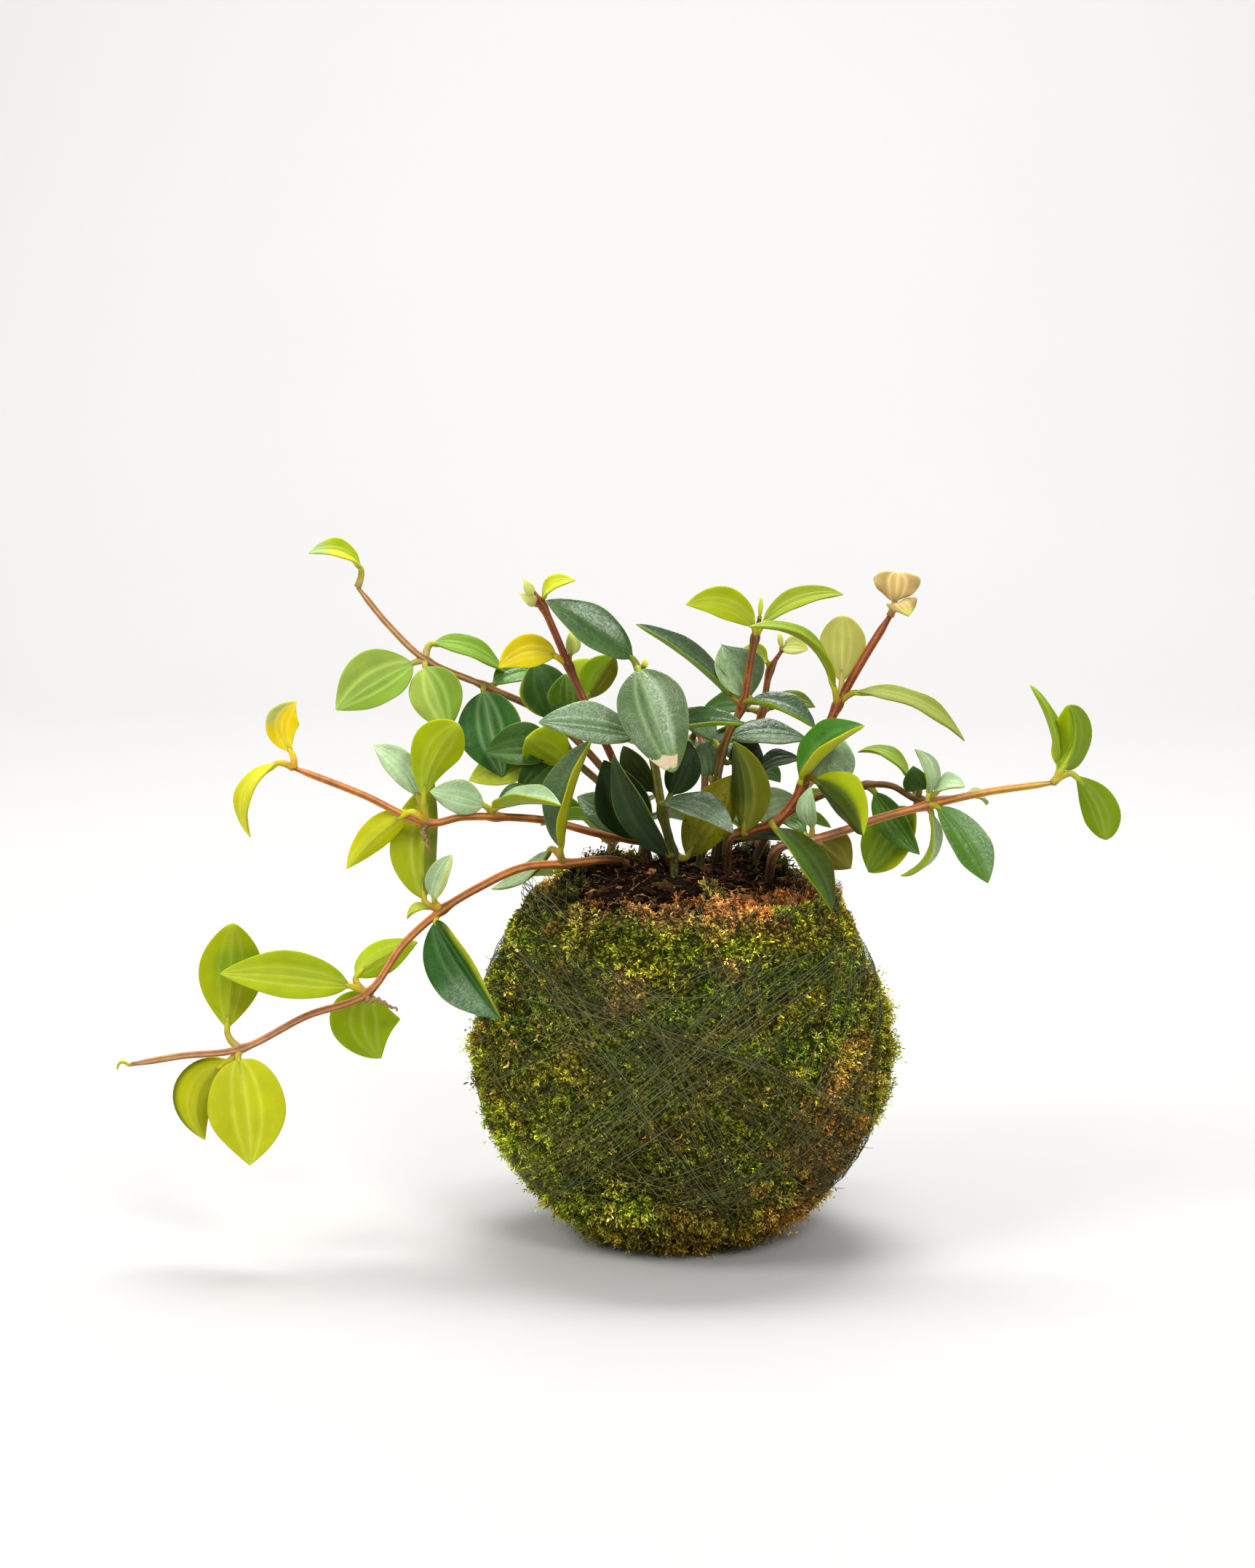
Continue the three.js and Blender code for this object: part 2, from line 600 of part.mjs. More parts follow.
    leaves: [
      leaf(1, [8, 76, 2], [6.5, 86, 5], 9, [-0.2, -1, 0]),
      leaf(2, [14, 86.5, 1], [35.5, 86, 5], 13, [0, -0.45, 0.9], { fold: 12 }),
      leaf(2, [9, 86, 3], [-1, 94.5, 9], 9, [0, -0.6, 0.8]),
      leaf(2, [13.5, 80, 4], [22, 84, 9], 12, [0, -1, 0]),
      leaf(4, [14, 98.5, 0], [-13, 119, -4], 11.5, [0.35, -0.35, 0.85], { fold: 26 }),
      leaf(4, [19, 98.5, 4], [12.5, 112.5, 10], 16, [0, -1, 0.3], { fold: 10 }),
      leaf(4, [19.5, 97.3, -2], [37.5, 89.6, -8], 12, [0.25, -0.35, 0.9], { fold: 26 }),
      leaf(6, [20, 118.7, -2], [1, 124.5, -6], 10, [0, -0.9, 0.4], { sway: 4 }),
      leaf(6, [23.3, 119.5, -1], [45.5, 127.5, 0], 9.5, [0, -0.5, 0.85], { sway: -2 }),
      leaf(7, [21.9, 121.2, -1], [22, 127, -1], 2, [0, -1, 0]),
    ],
  },
  {
    name: 'spray_upper_right',
    root: [12.5, -1],
    thick: [1.6, 1.3],
    stem: [
      [14, 59, -7],
      [18.5, 60.6, -8],
      [26, 62.8, -10],
      [31, 68, -11],
      [34, 73.5, -11],
      [38.5, 84, -9],
      [43.8, 96, -7],
      [51, 109, -6],
      [58.7, 121.5, -6],
    ],
    leaves: [
      leaf(1, [17.4, 60.3, -11], [14.6, 85.8, -13], 13, [0.5, 0.8, 0], { sway: -1.6 }),
      leaf(2, [26.5, 61, -17], [42, 38, -30], 14, [0.6, -0.6, 0.5], { fold: 28 }),
      leaf(4, [33.6, 75, -13], [51.4, 90.3, -17], 18.5, [-0.5, -0.3, 0.8], { fold: 34 }),
      leaf(4, [37.5, 75, -16], [51, 59.5, -29], 17, [0.3, 0.8, 0.5], { fold: 24 }),
      leaf(4, [37, 75, -6], [45, 87, -1], 16, [0, -1, 0]),
      leaf(6, [42.8, 101.5, -9], [18.8, 118.3, -16], 10, [0.3, -0.2, 0.9], { bow: 6 }),
      leaf(6, [45, 102.5, -5], [45.5, 121.7, -1], 14, [0.1, 1, 0], { belly: 0.56, fold: 14 }),
      leaf(6, [49.7, 99.8, -8], [79.5, 86, -12], 10, [0.2, -0.4, 0.9], { bow: 4.2, fold: 14 }),
      leaf(8, [60, 125.5, -6], [60.7, 133.8, -6], 13, [0, -1, 0.1], { belly: 0.6, fold: 10 }),
      leaf(8, [60.5, 124.5, -8], [64, 121.3, -14], 9, [0, -0.6, 0.8], { fold: 14 }),
    ],
  },
  {
    name: 'spray_low_right',
    root: [24, -6],
    thick: [1.7, 1.15],
    stem: [
      [27, 55.5, -12],
      [36, 57.8, -12],
      [46, 60.8, -13],
      [56, 64.3, -15],
      [69, 67.8, -19],
      [85, 71.5, -20],
      [104.3, 74.3, -21],
    ],
    leaves: [
      leaf(1, [38.5, 57.5, -12], [47.5, 50, -8], 13, [0, 1, 0.1]),
      leaf(1, [34.5, 60, -12], [29, 62.5, -3], 6, [0, -0.6, 0.8]),
      leaf(1, [36.5, 62, -14], [36.3, 73, -19], 7, [-0.5, -0.8, 0]),
      leaf(4, [69.5, 71.5, -19], [65.5, 83.7, -17], 8, [0.7, -0.6, 0.2], { fold: 28 }),
      leaf(4, [71, 71.3, -19], [79.5, 73, -23], 9, [0, -0.5, 0.9]),
      leaf(4, [72, 67.3, -21], [85.8, 46, -26], 13, [0.2, -1, 0.3], { fold: 14, sway: -1.2 }),
      leaf(4, [70.3, 65, -18], [61.5, 48, -13], 9, [0.8, -0.3, -0.2], { bow: 4 }),
      leaf(6, [107, 78.5, -21], [108.7, 96.2, -22], 17, [-0.4, 0.9, 0], { belly: 0.4, fold: 28, sway: -3.5 }),
      leaf(6, [106, 80, -17], [98, 102, -13], 9, [0.9, -0.25, 0.35]),
      leaf(6, [110.5, 76.3, -21], [119, 58.2, -23], 11, [0.2, 0.95, 0.1], { belly: 0.56, sway: 1.6 }),
    ],
  },
  {
    name: 'spray_back_right',
    root: [20, 7],
    thick: [1.5, 0.9],
    stem: [
      [26, 62, 9],
      [38, 70, 8],
      [52, 73.5, 4],
      [59, 73.3, 0],
      [66, 69.8, -5],
      [79, 70.2, -8],
    ],
    leaves: [
      leaf(2, [54.5, 71, 2], [66.8, 54, -9], 9.5, [-0.5, -0.8, 0.2]),
      leaf(4, [65.3, 67, -3], [52.5, 49, 5], 16, [-0.3, -0.9, 0.3]),
      leaf(4, [63.5, 76.5, -2], [49.5, 82.8, 6], 7, [0.2, -0.4, 0.9], { bow: 3 }),
      leaf(4, [66.8, 72.5, -6], [65, 79, -9], 8, [-0.2, -1, 0.1]),
      leaf(5, [80, 70.5, -8], [87, 73, -3], 7, [0, -0.5, 0.8]),
    ],
  },
  {
    name: 'spray_back_centre',
    root: [9, 17],
    thick: [1.4, 1.0],
    stem: [
      [12, 66, 20],
      [18, 82, 24],
      [22.5, 94, 26],
      [24.8, 106, 27],
      [28, 111.5, 27],
    ],
    leaves: [
      leaf(2, [25, 95.5, 26], [37.5, 95.5, 24], 9, [0, -0.5, 0.85]),
      leaf(2, [19, 95, 27], [5, 93, 33], 12, [0, -0.5, 0.85]),
      leaf(3, [23.8, 108.7, 26], [16, 111.5, 22], 6.5, [0, -0.8, 0.5]),
      leaf(4, [28.7, 112.2, 27], [35.5, 111.8, 25], 6.5, [0, -0.8, 0.5]),
      leaf(4, [28, 112.6, 27], [27.3, 116.5, 27], 3, [0, -1, 0]),
    ],
  },
  {
    name: 'spray_inner_right',
    root: [9.5, 7.5],
    thick: [1.4, 1.1],
    stem: [
      [12, 60.5, 6.5],
      [16.5, 69, 8],
      [20, 76, 9],
    ],
    leaves: [
      leaf(0, [13.5, 57.3, 3], [31.5, 57.8, -4], 10, [0, -0.35, 0.95]),
      leaf(1, [21, 65.5, 5], [33, 69.5, 0], 11, [-0.1, -0.9, 0.3]),
      leaf(2, [22, 77.5, 10], [33.5, 80.5, 14], 9, [0, -0.4, 0.9]),
      leaf(2, [21.5, 75, 6], [27.7, 74.3, -2], 8, [0, -0.5, 0.9]),
      leaf(2, [19.5, 79, 12], [14, 88, 19], 10, [-0.2, -0.8, 0.5]),
    ],
  },
];

// The far side: stems that rise from the soil, arch over the moss and hang down behind, in a seeded draw
function seededDraw(seed) {
  let state = seed;
  return () => {
    state = (state * 1103515245 + 12345) % 2147483648;
    return state / 2147483648;
  };
}

const FAR_SPRAYS = [
  { name: 'spray_far_left', root: [-12, 27], heading: 106, reach: 44, rise: 10, droop: 48, seed: 11 },
  { name: 'spray_far_middle', root: [2, 29], heading: 86, reach: 30, rise: 34, droop: 4, seed: 23 },
  { name: 'spray_far_right', root: [16, 24], heading: 72, reach: 46, rise: 10, droop: 48, seed: 37 },
];
const FAR_STATIONS = 5;
const FAR_START = 5; // the first station is this much above the ground
const FAR_WANDER = 4; // a stem wanders this far to each side
const FAR_LEAF = 25; // length of the oldest leaves' blades
const FAR_SHRINK = 2; // and how much shorter they are at each joint
const FAR_PETIOLE = 4;

// The two leaves of a far stem's joint
function farPair(i, joint, way, across, draw) {
  const rise = i % 2 ? 0.15 : 0.75;
  return [-1, 1].map((hand) => {
    const length = FAR_LEAF - FAR_SHRINK * i + 4 * draw();
    const spread = way.clone().multiplyScalar(0.5 + 0.4 * draw()).setZ(rise - 0.25 * draw());
    spread.addScaledVector(across, hand * (0.8 + 0.2 * draw())).normalize();
    const base = joint.clone().addScaledVector(spread, FAR_PETIOLE);
    const tip = base.clone().addScaledVector(spread, length);
    const face = [way.x * 0.35, way.y * 0.35, 0.9];
    return leaf(i, base, tip, length * 0.56, face, { fold: 16, bow: 2.5 });
  });
}

function farSpray({ name, root, heading, reach, rise, droop, seed }) {
  const draw = seededDraw(seed);
  const turn = THREE.MathUtils.degToRad(heading);
  const way = new THREE.Vector3(Math.cos(turn), Math.sin(turn), 0);
  const across = new THREE.Vector3(-way.y, way.x, 0);
  const foot = new THREE.Vector3(root[0], root[1], soilTop(...root) + FAR_START);
  const stem = [];
  for (let i = 1; i <= FAR_STATIONS; i++) {
    const share = i / FAR_STATIONS;
    const point = foot.clone().addScaledVector(way, reach * share);
    point.addScaledVector(across, FAR_WANDER * Math.sin(share * 3 + seed));
    point.z += rise * Math.sin(share * Math.PI * 0.8) - droop * share ** 3;
    stem.push(point);
  }
  const leaves = [];
  for (let i = 1; i < FAR_STATIONS; i++) leaves.push(...farPair(i, stem[i], way, across, draw));
  return { name, root, thick: [1.4, 1.0], stem, leaves };
}

const everySpray = [...SPRAYS, ...FAR_SPRAYS.map(farSpray)];
const LEAF_GREEN = 0x4f7d3a;
const MOSS_GREEN = 0x5d6b2a;
const SOIL_BROWN = 0x2e2018;
const THREAD_GREEN = 0x3c4a3c;

const kokedama = new THREE.Group();
const roots = everySpray.map(({ root: [x, y], thick }) => ({ x, y, radius: thick[0] + HOLE_ROOM }));
kokedama.add(named('moss_cover', mossCover(), MOSS_GREEN, 0.95));
kokedama.add(named('soil_ball', soilBall(roots), SOIL_BROWN, 1));
let thread = threadTurn(THREAD_TURNS[0]);
for (const turn of THREAD_TURNS.slice(1)) thread = thread.add(threadTurn(turn));
kokedama.add(named('binding_thread', thread, THREAD_GREEN, 0.8));
for (const spray of everySpray) kokedama.add(named(spray.name, spraySolid(spray), LEAF_GREEN, 0.45));

export default kokedama;
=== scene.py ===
"""Looks of the kokedama: a plant with thick veined leaves in a ball of soil, moss and thread.

Lengths are in millimetres until a mesh is made, where MM turns them into metres. +Z is up, -Y the front.
"""

import math

import bpy
import numpy as np
from mathutils import Matrix, Vector


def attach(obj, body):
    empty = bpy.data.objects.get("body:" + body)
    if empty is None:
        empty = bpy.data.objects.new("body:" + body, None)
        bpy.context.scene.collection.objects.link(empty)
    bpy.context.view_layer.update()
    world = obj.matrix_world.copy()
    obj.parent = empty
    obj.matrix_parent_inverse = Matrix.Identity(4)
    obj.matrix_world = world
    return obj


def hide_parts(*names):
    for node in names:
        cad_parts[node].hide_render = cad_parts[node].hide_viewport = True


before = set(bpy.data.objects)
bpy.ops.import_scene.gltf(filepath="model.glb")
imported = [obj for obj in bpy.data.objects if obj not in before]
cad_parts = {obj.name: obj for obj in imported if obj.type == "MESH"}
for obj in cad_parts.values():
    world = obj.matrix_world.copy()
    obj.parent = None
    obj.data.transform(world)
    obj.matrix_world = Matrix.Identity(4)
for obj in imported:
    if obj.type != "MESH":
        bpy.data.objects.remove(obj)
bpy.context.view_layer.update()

MM = 0.001
TURN = 2 * math.pi
MOSS_SEED, THREAD_SEED, SOIL_SEED, SPRAY_SEED = 7, 19, 31, 100

# The view that the plant's stations are given in, as in the part's source
BALL_MIDDLE = 53.0
VIEW_DISTANCE = 900.0
VIEW_RISE = math.radians(12)
LEVEL, CLIMB = math.cos(VIEW_RISE), math.sin(VIEW_RISE)
EYE = np.array([0.0, -VIEW_DISTANCE * LEVEL, BALL_MIDDLE + VIEW_DISTANCE * CLIMB])


def seen(station):
    """A point from its place in the front view: right, up, and how far behind the ball's axis."""
    if isinstance(station, np.ndarray):
        return station
    right, up, depth = station
    on_plane = np.array([right, up * CLIMB, BALL_MIDDLE + up * LEVEL])
    reach = (depth - EYE[1]) / (on_plane[1] - EYE[1])
    return EYE + (on_plane - EYE) * reach


def shown_at(points):
    """The front view's right and up of many points: the other way round from seen()."""
    rays = points - EYE
    flat = EYE + rays * (VIEW_DISTANCE / (rays @ np.array([0.0, LEVEL, -CLIMB])))[:, None]
    return flat[:, 0], flat[:, 1] * CLIMB + (flat[:, 2] - BALL_MIDDLE) * LEVEL


def put(name, data):
    """A new object in the scene."""
    thing = bpy.data.objects.new(name, data)
    bpy.context.scene.collection.objects.link(thing)
    return thing


# Camera and room
def add_camera():
    data = bpy.data.cameras.new("camera")
    data.lens, data.sensor_width, data.clip_start = 73.636, 36.0, 0.05
    camera = put("camera", data)
    turn = Matrix([
        (0.99985427, -0.0021746, 0.01693309),
        (0.01707215, 0.1273587, -0.99170977),
        (0.0, 0.99185431, 0.12737727),
    ])
    camera.matrix_world = Matrix.Translation((0.0, -0.8803328, 0.2401205)) @ turn.to_4x4()
    bpy.context.scene.camera = camera


def add_light(name, place, target, size, power, tint):
    data = bpy.data.lights.new(name, "AREA")
    data.shape, data.size, data.energy, data.color = "DISK", size, power, tint
    lamp = put(name, data)
    lamp.location = place
    lamp.rotation_mode = "QUATERNION"
    lamp.rotation_quaternion = (Vector(target) - lamp.location).to_track_quat("-Z", "Y")


class Tree:
    """A material's node tree, built one node at a time."""

    def __init__(self, name):
        self.material = bpy.data.materials.new(name)
        self.material.use_nodes = True
        self.tree = self.material.node_tree
        self.tree.nodes.clear()

    def add(self, kind, inputs=None, **settings):
        node = self.tree.nodes.new("ShaderNode" + kind)
        for key, value in settings.items():
            setattr(node, key, value)
        for key, value in (inputs or {}).items():
            socket = node.inputs[key]
            if isinstance(value, bpy.types.NodeSocket):
                self.tree.links.new(value, socket)
            else:
                socket.default_value = value
        return node

    def field(self, name, output="Color"):
        return self.add("Attribute", attribute_name=name).outputs[output]

    def math(self, operation, first, second=0.0):
        return self.add("Math", {0: first, 1: second}, operation=operation).outputs[0]

    def times(self, first, second):
        return self.math("MULTIPLY", first, second)

    def ramp(self, value, low, high, start=0.0, end=1.0):
        inputs = {"Value": value, "From Min": low, "From Max": high, "To Min": start, "To Max": end}
        return self.add("MapRange", inputs, interpolation_type="SMOOTHSTEP").outputs["Result"]

    def noise(self, scale, detail=3.0, roughness=0.55):
        inputs = {"Scale": scale, "Detail": detail, "Roughness": roughness}
        inputs["Vector"] = self.add("TexCoord").outputs["Object"]
        return self.add("TexNoise", inputs).outputs["Fac"]

    def cells(self, scale):
        inputs = {"Scale": scale, "Vector": self.add("TexCoord").outputs["Object"]}
        return self.add("TexVoronoi", inputs).outputs["Distance"]

    def mix(self, share, first, second):
        return self.add("Mix", {0: share, 6: first, 7: second}, data_type="RGBA").outputs[2]

    def brightness(self, colour, value):
        return self.add("HueSaturation", {"Color": colour, "Value": value}).outputs["Color"]

    def bump(self, height, strength, distance, normal=None):
        inputs = {"Height": height, "Strength": strength, "Distance": distance}
        if normal:
            inputs["Normal"] = normal
        return self.add("Bump", inputs).outputs["Normal"]

    def finish(self, shader):
        self.add("OutputMaterial", {"Surface": shader.outputs[0]})
        return self.material

    def surface(self, colour, rough, specular, normal, more=None):
        """The finished material, with one shader."""
        inputs = {"Base Color": colour, "Roughness": rough, "Specular IOR Level": specular, "Normal": normal}
        return self.finish(self.add("BsdfPrincipled", {**inputs, **(more or {})}))


def add_room():
    """A pale floor that bends up into a wall, and soft lamps."""
    tree = Tree("pale_floor")
    tone = tree.mix(tree.noise(3.0), (0.49, 0.485, 0.476, 1), (0.505, 0.50, 0.49, 1))
    front, start, bend, wall, wide = -6.0, 1.4, 0.9, 3.0, 6.0
    arc = np.linspace(0, TURN / 4, 24)
    profile = [(front, 0.0)] + [(start + bend * math.sin(a), bend - bend * math.cos(a)) for a in arc]
    profile.append((start + bend, wall))
    corners = [(x, y, z) for y, z in profile for x in (-wide, wide)]
    faces = [(2 * i, 2 * i + 1, 2 * i + 3, 2 * i + 2) for i in range(len(profile) - 1)]
    mesh = bpy.data.meshes.new("floor")
    mesh.from_pydata(corners, [], faces)
    mesh.polygons.foreach_set("use_smooth", [True] * len(faces))
    mesh.materials.append(tree.finish(tree.add("BsdfPrincipled", {"Base Color": tone, "Roughness": 0.75})))
    put("floor", mesh)
    world = bpy.data.worlds.new("room")
    world.use_nodes = True
    back = world.node_tree.nodes["Background"]
    back.inputs["Color"].default_value = (0.97, 0.975, 1.0, 1)
    back.inputs["Strength"].default_value = 0.56
    bpy.context.scene.world = world
    bpy.context.scene.view_settings.view_transform = "Standard"
    middle = (0.0, 0.0, 0.09)
    add_light("key", (-0.75, -0.55, 0.85), middle, 0.5, 7.5, (1.0, 0.985, 0.95))
    add_light("front", (0.36, -0.95, 0.80), middle, 0.4, 7.2, (1.0, 0.995, 0.98))
    add_light("top", (0.12, 0.42, 1.05), middle, 0.6, 5.0, (1.0, 0.995, 0.98))
    add_light("wall", (0.0, 0.9, 2.5), (0.0, 2.4, 0.75), 1.6, 82.0, (1.0, 1.0, 1.0))


# Meshes
FIELD_KINDS = {1: ("FLOAT", "value"), 3: ("FLOAT_VECTOR", "vector"), 4: ("FLOAT_COLOR", "color")}


class Pile:
    """Points, faces and point fields of one piece, piled up part by part."""

    def __init__(self, *fields):
        self.fields = {name: [] for name in fields}
        self.points, self.faces, self.kinds, self.count = [], [], [], 0

    def add(self, points, *faces, kind=0, **values):
        """Adds points with their faces. A field's value is the same for all of them, or has a row for each."""
        for part in faces:
            self.faces.append(np.asarray(part) + self.count)
            self.kinds.append(np.broadcast_to(kind, (len(part),)))
        self.points.append(points)
        self.count += len(points)
        for name, rows in self.fields.items():
            value = np.asarray(values[name], float)
            if value.ndim < 2 and np.size(value) != len(points):
                value = np.broadcast_to(value, (len(points), np.size(value)))
            rows.append(value.reshape(len(points), -1))

    def make(self, name, materials, stands_for=(), smooth=True):
        mesh = bpy.data.meshes.new(name)
        faces = [face for part in self.faces for face in part.tolist()]
        mesh.from_pydata((np.concatenate(self.points) * MM).tolist(), [], faces)
        for material in materials:
            mesh.materials.append(material)
        mesh.polygons.foreach_set("material_index", np.concatenate(self.kinds).astype(np.int32))
        mesh.polygons.foreach_set("use_smooth", np.full(len(faces), smooth))
        for field, rows in self.fields.items():
            values = np.concatenate(rows)
            kind, key = FIELD_KINDS[values.shape[1]]
            layer = mesh.attributes.new(field, kind, "POINT")
            layer.data.foreach_set(key, values.astype(np.float32).ravel())
        mesh.update()
        piece = put(name, mesh)
        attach(piece, "root")
        if stands_for:
            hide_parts(*stands_for)


def opaque(tones):
    """Colours with a fourth number, as a mesh keeps them."""
    return np.c_[tones, np.ones(len(tones))]


def smooth_step(values, low, high):
    share = np.clip((values - low) / (high - low), 0.0, 1.0)
    return share * share * (3 - 2 * share)


def unit(vectors):
    return vectors / np.maximum(np.linalg.norm(vectors, axis=-1, keepdims=True), 1e-9)


def square_to(vectors, along):
    """The part of each vector that stands square to along, as a unit vector."""
    return unit(vectors - along * np.sum(vectors * along, axis=-1, keepdims=True))


def lattice(cells, seed):
    """A random number from 0 to 1 for each whole-numbered cell."""
    keys = cells[..., 0] * 374761393 + cells[..., 1] * 668265263 + cells[..., 2] * 2147483647
    keys = (keys + seed * 1274126177) & 0xFFFFFFFF
    keys = ((keys ^ (keys >> 13)) * 1274126177) & 0xFFFFFFFF
    keys = (keys ^ (keys >> 16)) & 0xFFFFFF
    return keys / float(0xFFFFFF)


def noise(points, scale, seed=0):
    """Smooth noise from 0 to 1 with bumps about scale wide."""
    place = points / scale
    cells = np.floor(place).astype(np.int64)
    share = place - cells
    share = share * share * (3 - 2 * share)
    total = np.zeros(points.shape[:-1])
    for corner in range(8):
        step = np.array([corner & 1, corner >> 1 & 1, corner >> 2])
        weight = np.prod(np.where(step, share, 1 - share), axis=-1)
        total += weight * lattice(cells + step, seed)
    return total


def around(count):
    """Angles spread evenly round a full turn."""
    return np.arange(count) * TURN / count


def ring_of(first, second, angles):
    """Directions at some angles from first towards second."""
    return first * np.cos(angles)[:, None] + second * np.sin(angles)[:, None]


def read_rows(at, places, rows):
    """Rows of a table that stand at some places, read at others."""
    return np.stack([np.interp(at, places, row) for row in np.transpose(rows)], axis=-1)


def grid_faces(rows, columns, offset=0, flip=False, ring=False):
    """Quads between the rows of a grid of points."""
    across = columns if ring else columns - 1
    r, c = np.meshgrid(np.arange(rows - 1), np.arange(across), indexing="ij")
    a = (r * columns + c).ravel()
    b = (r * columns + (c + 1) % columns).ravel()
    quads = np.stack([a, b, b + columns, a + columns], axis=1) + offset
    return quads[:, ::-1] if flip else quads


def add_tube(pile, path, radii, sides, shape=None, kind=0, **values):
    """A tube along a path, closed at both ends. shape(angles) scales its radius, and a field may have a row
    for each point of the path."""
    along = unit(np.gradient(path, axis=0))
    side = np.empty_like(path)
    side[0] = square_to(np.array([0.31, 0.74, 0.6]), along[0])
    for i in range(1, len(path)):
        side[i] = square_to(side[i - 1], along[i])
    angles = around(sides)
    rim = ring_of(side[:, None], np.cross(along, side)[:, None], angles)
    scale = shape(angles) if shape else np.ones(sides)
    radii = np.broadcast_to(radii, (len(path),))
    points = path[:, None] + rim * (radii[:, None] * scale)[..., None]
    points = np.concatenate([points.reshape(-1, 3), path[:1], path[-1:]])
    first, last = len(points) - 2, len(points) - 1
    i = np.arange(sides)
    j = (i + 1) % sides
    end = (len(path) - 1) * sides
    caps = np.stack([i * 0 + first, j, i, i * 0 + last, end + i, end + j], axis=1).reshape(-1, 3)
    for name, value in values.items():
        value = np.asarray(value, float)
        if value.ndim == 2 and len(value) == len(path):
            values[name] = np.concatenate([np.repeat(value, sides, axis=0), value[:1], value[-1:]])
    pile.add(points, grid_faces(len(path), sides, ring=True), caps, kind=kind, **values)


# The ball's outline, as in the part's source
BALL_RADIUS, UPPER_HALF, LOWER_HALF, COLLAR_RADIUS = 58.5, 58.5, 56.0, 44.5
CREST, SOIL_EDGE, MOUTH_WALL = 99.5, 95.5, 36.0
SOIL_DOME, SOIL_LUMP = 7.5, 0.7
MIDDLE = np.array([0, 0, BALL_MIDDLE])


def ball_radius(height):
    rise = height - BALL_MIDDLE
    share = np.minimum(1.0, np.abs(rise) / np.where(rise > 0, UPPER_HALF, LOWER_HALF))
    around_axis = BALL_RADIUS * np.sqrt(1 - share * share)
    return np.where(rise > 0, np.maximum(around_axis, COLLAR_RADIUS), around_axis)


def soil_top(x, y):
    share = np.minimum(1.0, np.hypot(x, y) / MOUTH_WALL)
    lumps = np.sin(x * 0.55 + 1.3) * np.cos(y * 0.47) + np.sin(x * 0.23 - y * 0.36)
    return SOIL_EDGE + SOIL_DOME * (1 - share * share) + SOIL_LUMP * lumps * (1 - share**6)


def ground(x, y):
    """The soil's height with the heaps at its left and at its back, which have crumbs and moss on them."""
    left = 4.6 * np.exp(-(((x + 21) / 9.0) ** 2) - ((y - 12) / 12.0) ** 2)
    back = 6.5 * np.exp(-(((x - 21) / 11.0) ** 2) - ((y - 17) / 10.0) ** 2)
    return soil_top(x, y) + left + back


def turn_axis(tilt, heading):
    lean, way = math.radians(tilt), math.radians(heading)
    return np.array([math.sin(lean) * math.cos(way), math.sin(lean) * math.sin(way), math.cos(lean)])


# Bundles of thread: how their plane leans and where to, how far it lies below the ball's middle, half the
# number of their turns and how wide they spread. The first five follow the part's own turns.
BUNDLES = [
    (38, 12, 3, 9, 6), (33, 95, 0, 3, 4), (36, 168, 4, 11, 7), (38, 240, 0, 5, 5), (34, 310, 2, 5, 5),
    (56, 8, 14, 10, 8), (48, 172, -2, 9, 8), (62, 30, 22, 5, 7), (28, 150, -8, 8, 8), (24, 40, 6, 7, 8),
    (68, 352, -30, 6, 6), (58, 205, 10, 5, 8), (82, 186, 46, 4, 5),
]


def thread_cover(points):
    """How thickly the thread lies at each point, from 0 to about 1."""
    away = points - MIDDLE
    cover = np.zeros(len(points))
    for tilt, heading, drop, turns, spread in BUNDLES:
        off = (away @ turn_axis(tilt, heading) + drop) / (spread * 1.25)
        cover += turns / 18.0 * np.exp(-off * off)
    low = smooth_step(away[:, 2], -38.0, -20.0)
    return np.clip(cover * (0.35 + 0.65 * low), 0.0, 1.1) / 1.1


# The moss as a surface turned round the axis: its outline from the foot over the crest to the soil
LIP_HEIGHT = 97.1
LIP = [(44.2, 98.2), (43.3, 99.1), (42.0, 99.6), (40.6, 99.5), (39.2, 98.8), (37.6, 97.4), (35.6, 95.2)]


def moss_outline():
    foot, lip = -math.asin(BALL_MIDDLE / LOWER_HALF), math.asin((LIP_HEIGHT - BALL_MIDDLE) / UPPER_HALF)
    swings = np.linspace(foot, lip, 90)
    heights = BALL_MIDDLE + np.where(swings < 0, LOWER_HALF, UPPER_HALF) * np.sin(swings)
    return np.array([(0.0, 0.0), (9.0, 0.0), *zip(ball_radius(heights), heights), *LIP])


OUTLINE = moss_outline()
REACHES = np.concatenate([[0], np.cumsum(np.linalg.norm(np.diff(OUTLINE, axis=0), axis=1))])
FULL_REACH = REACHES[-1]


def on_outline(reach):
    """Radius and height of the moss's outline, some way along it."""
    return read_rows(reach, REACHES, OUTLINE).T


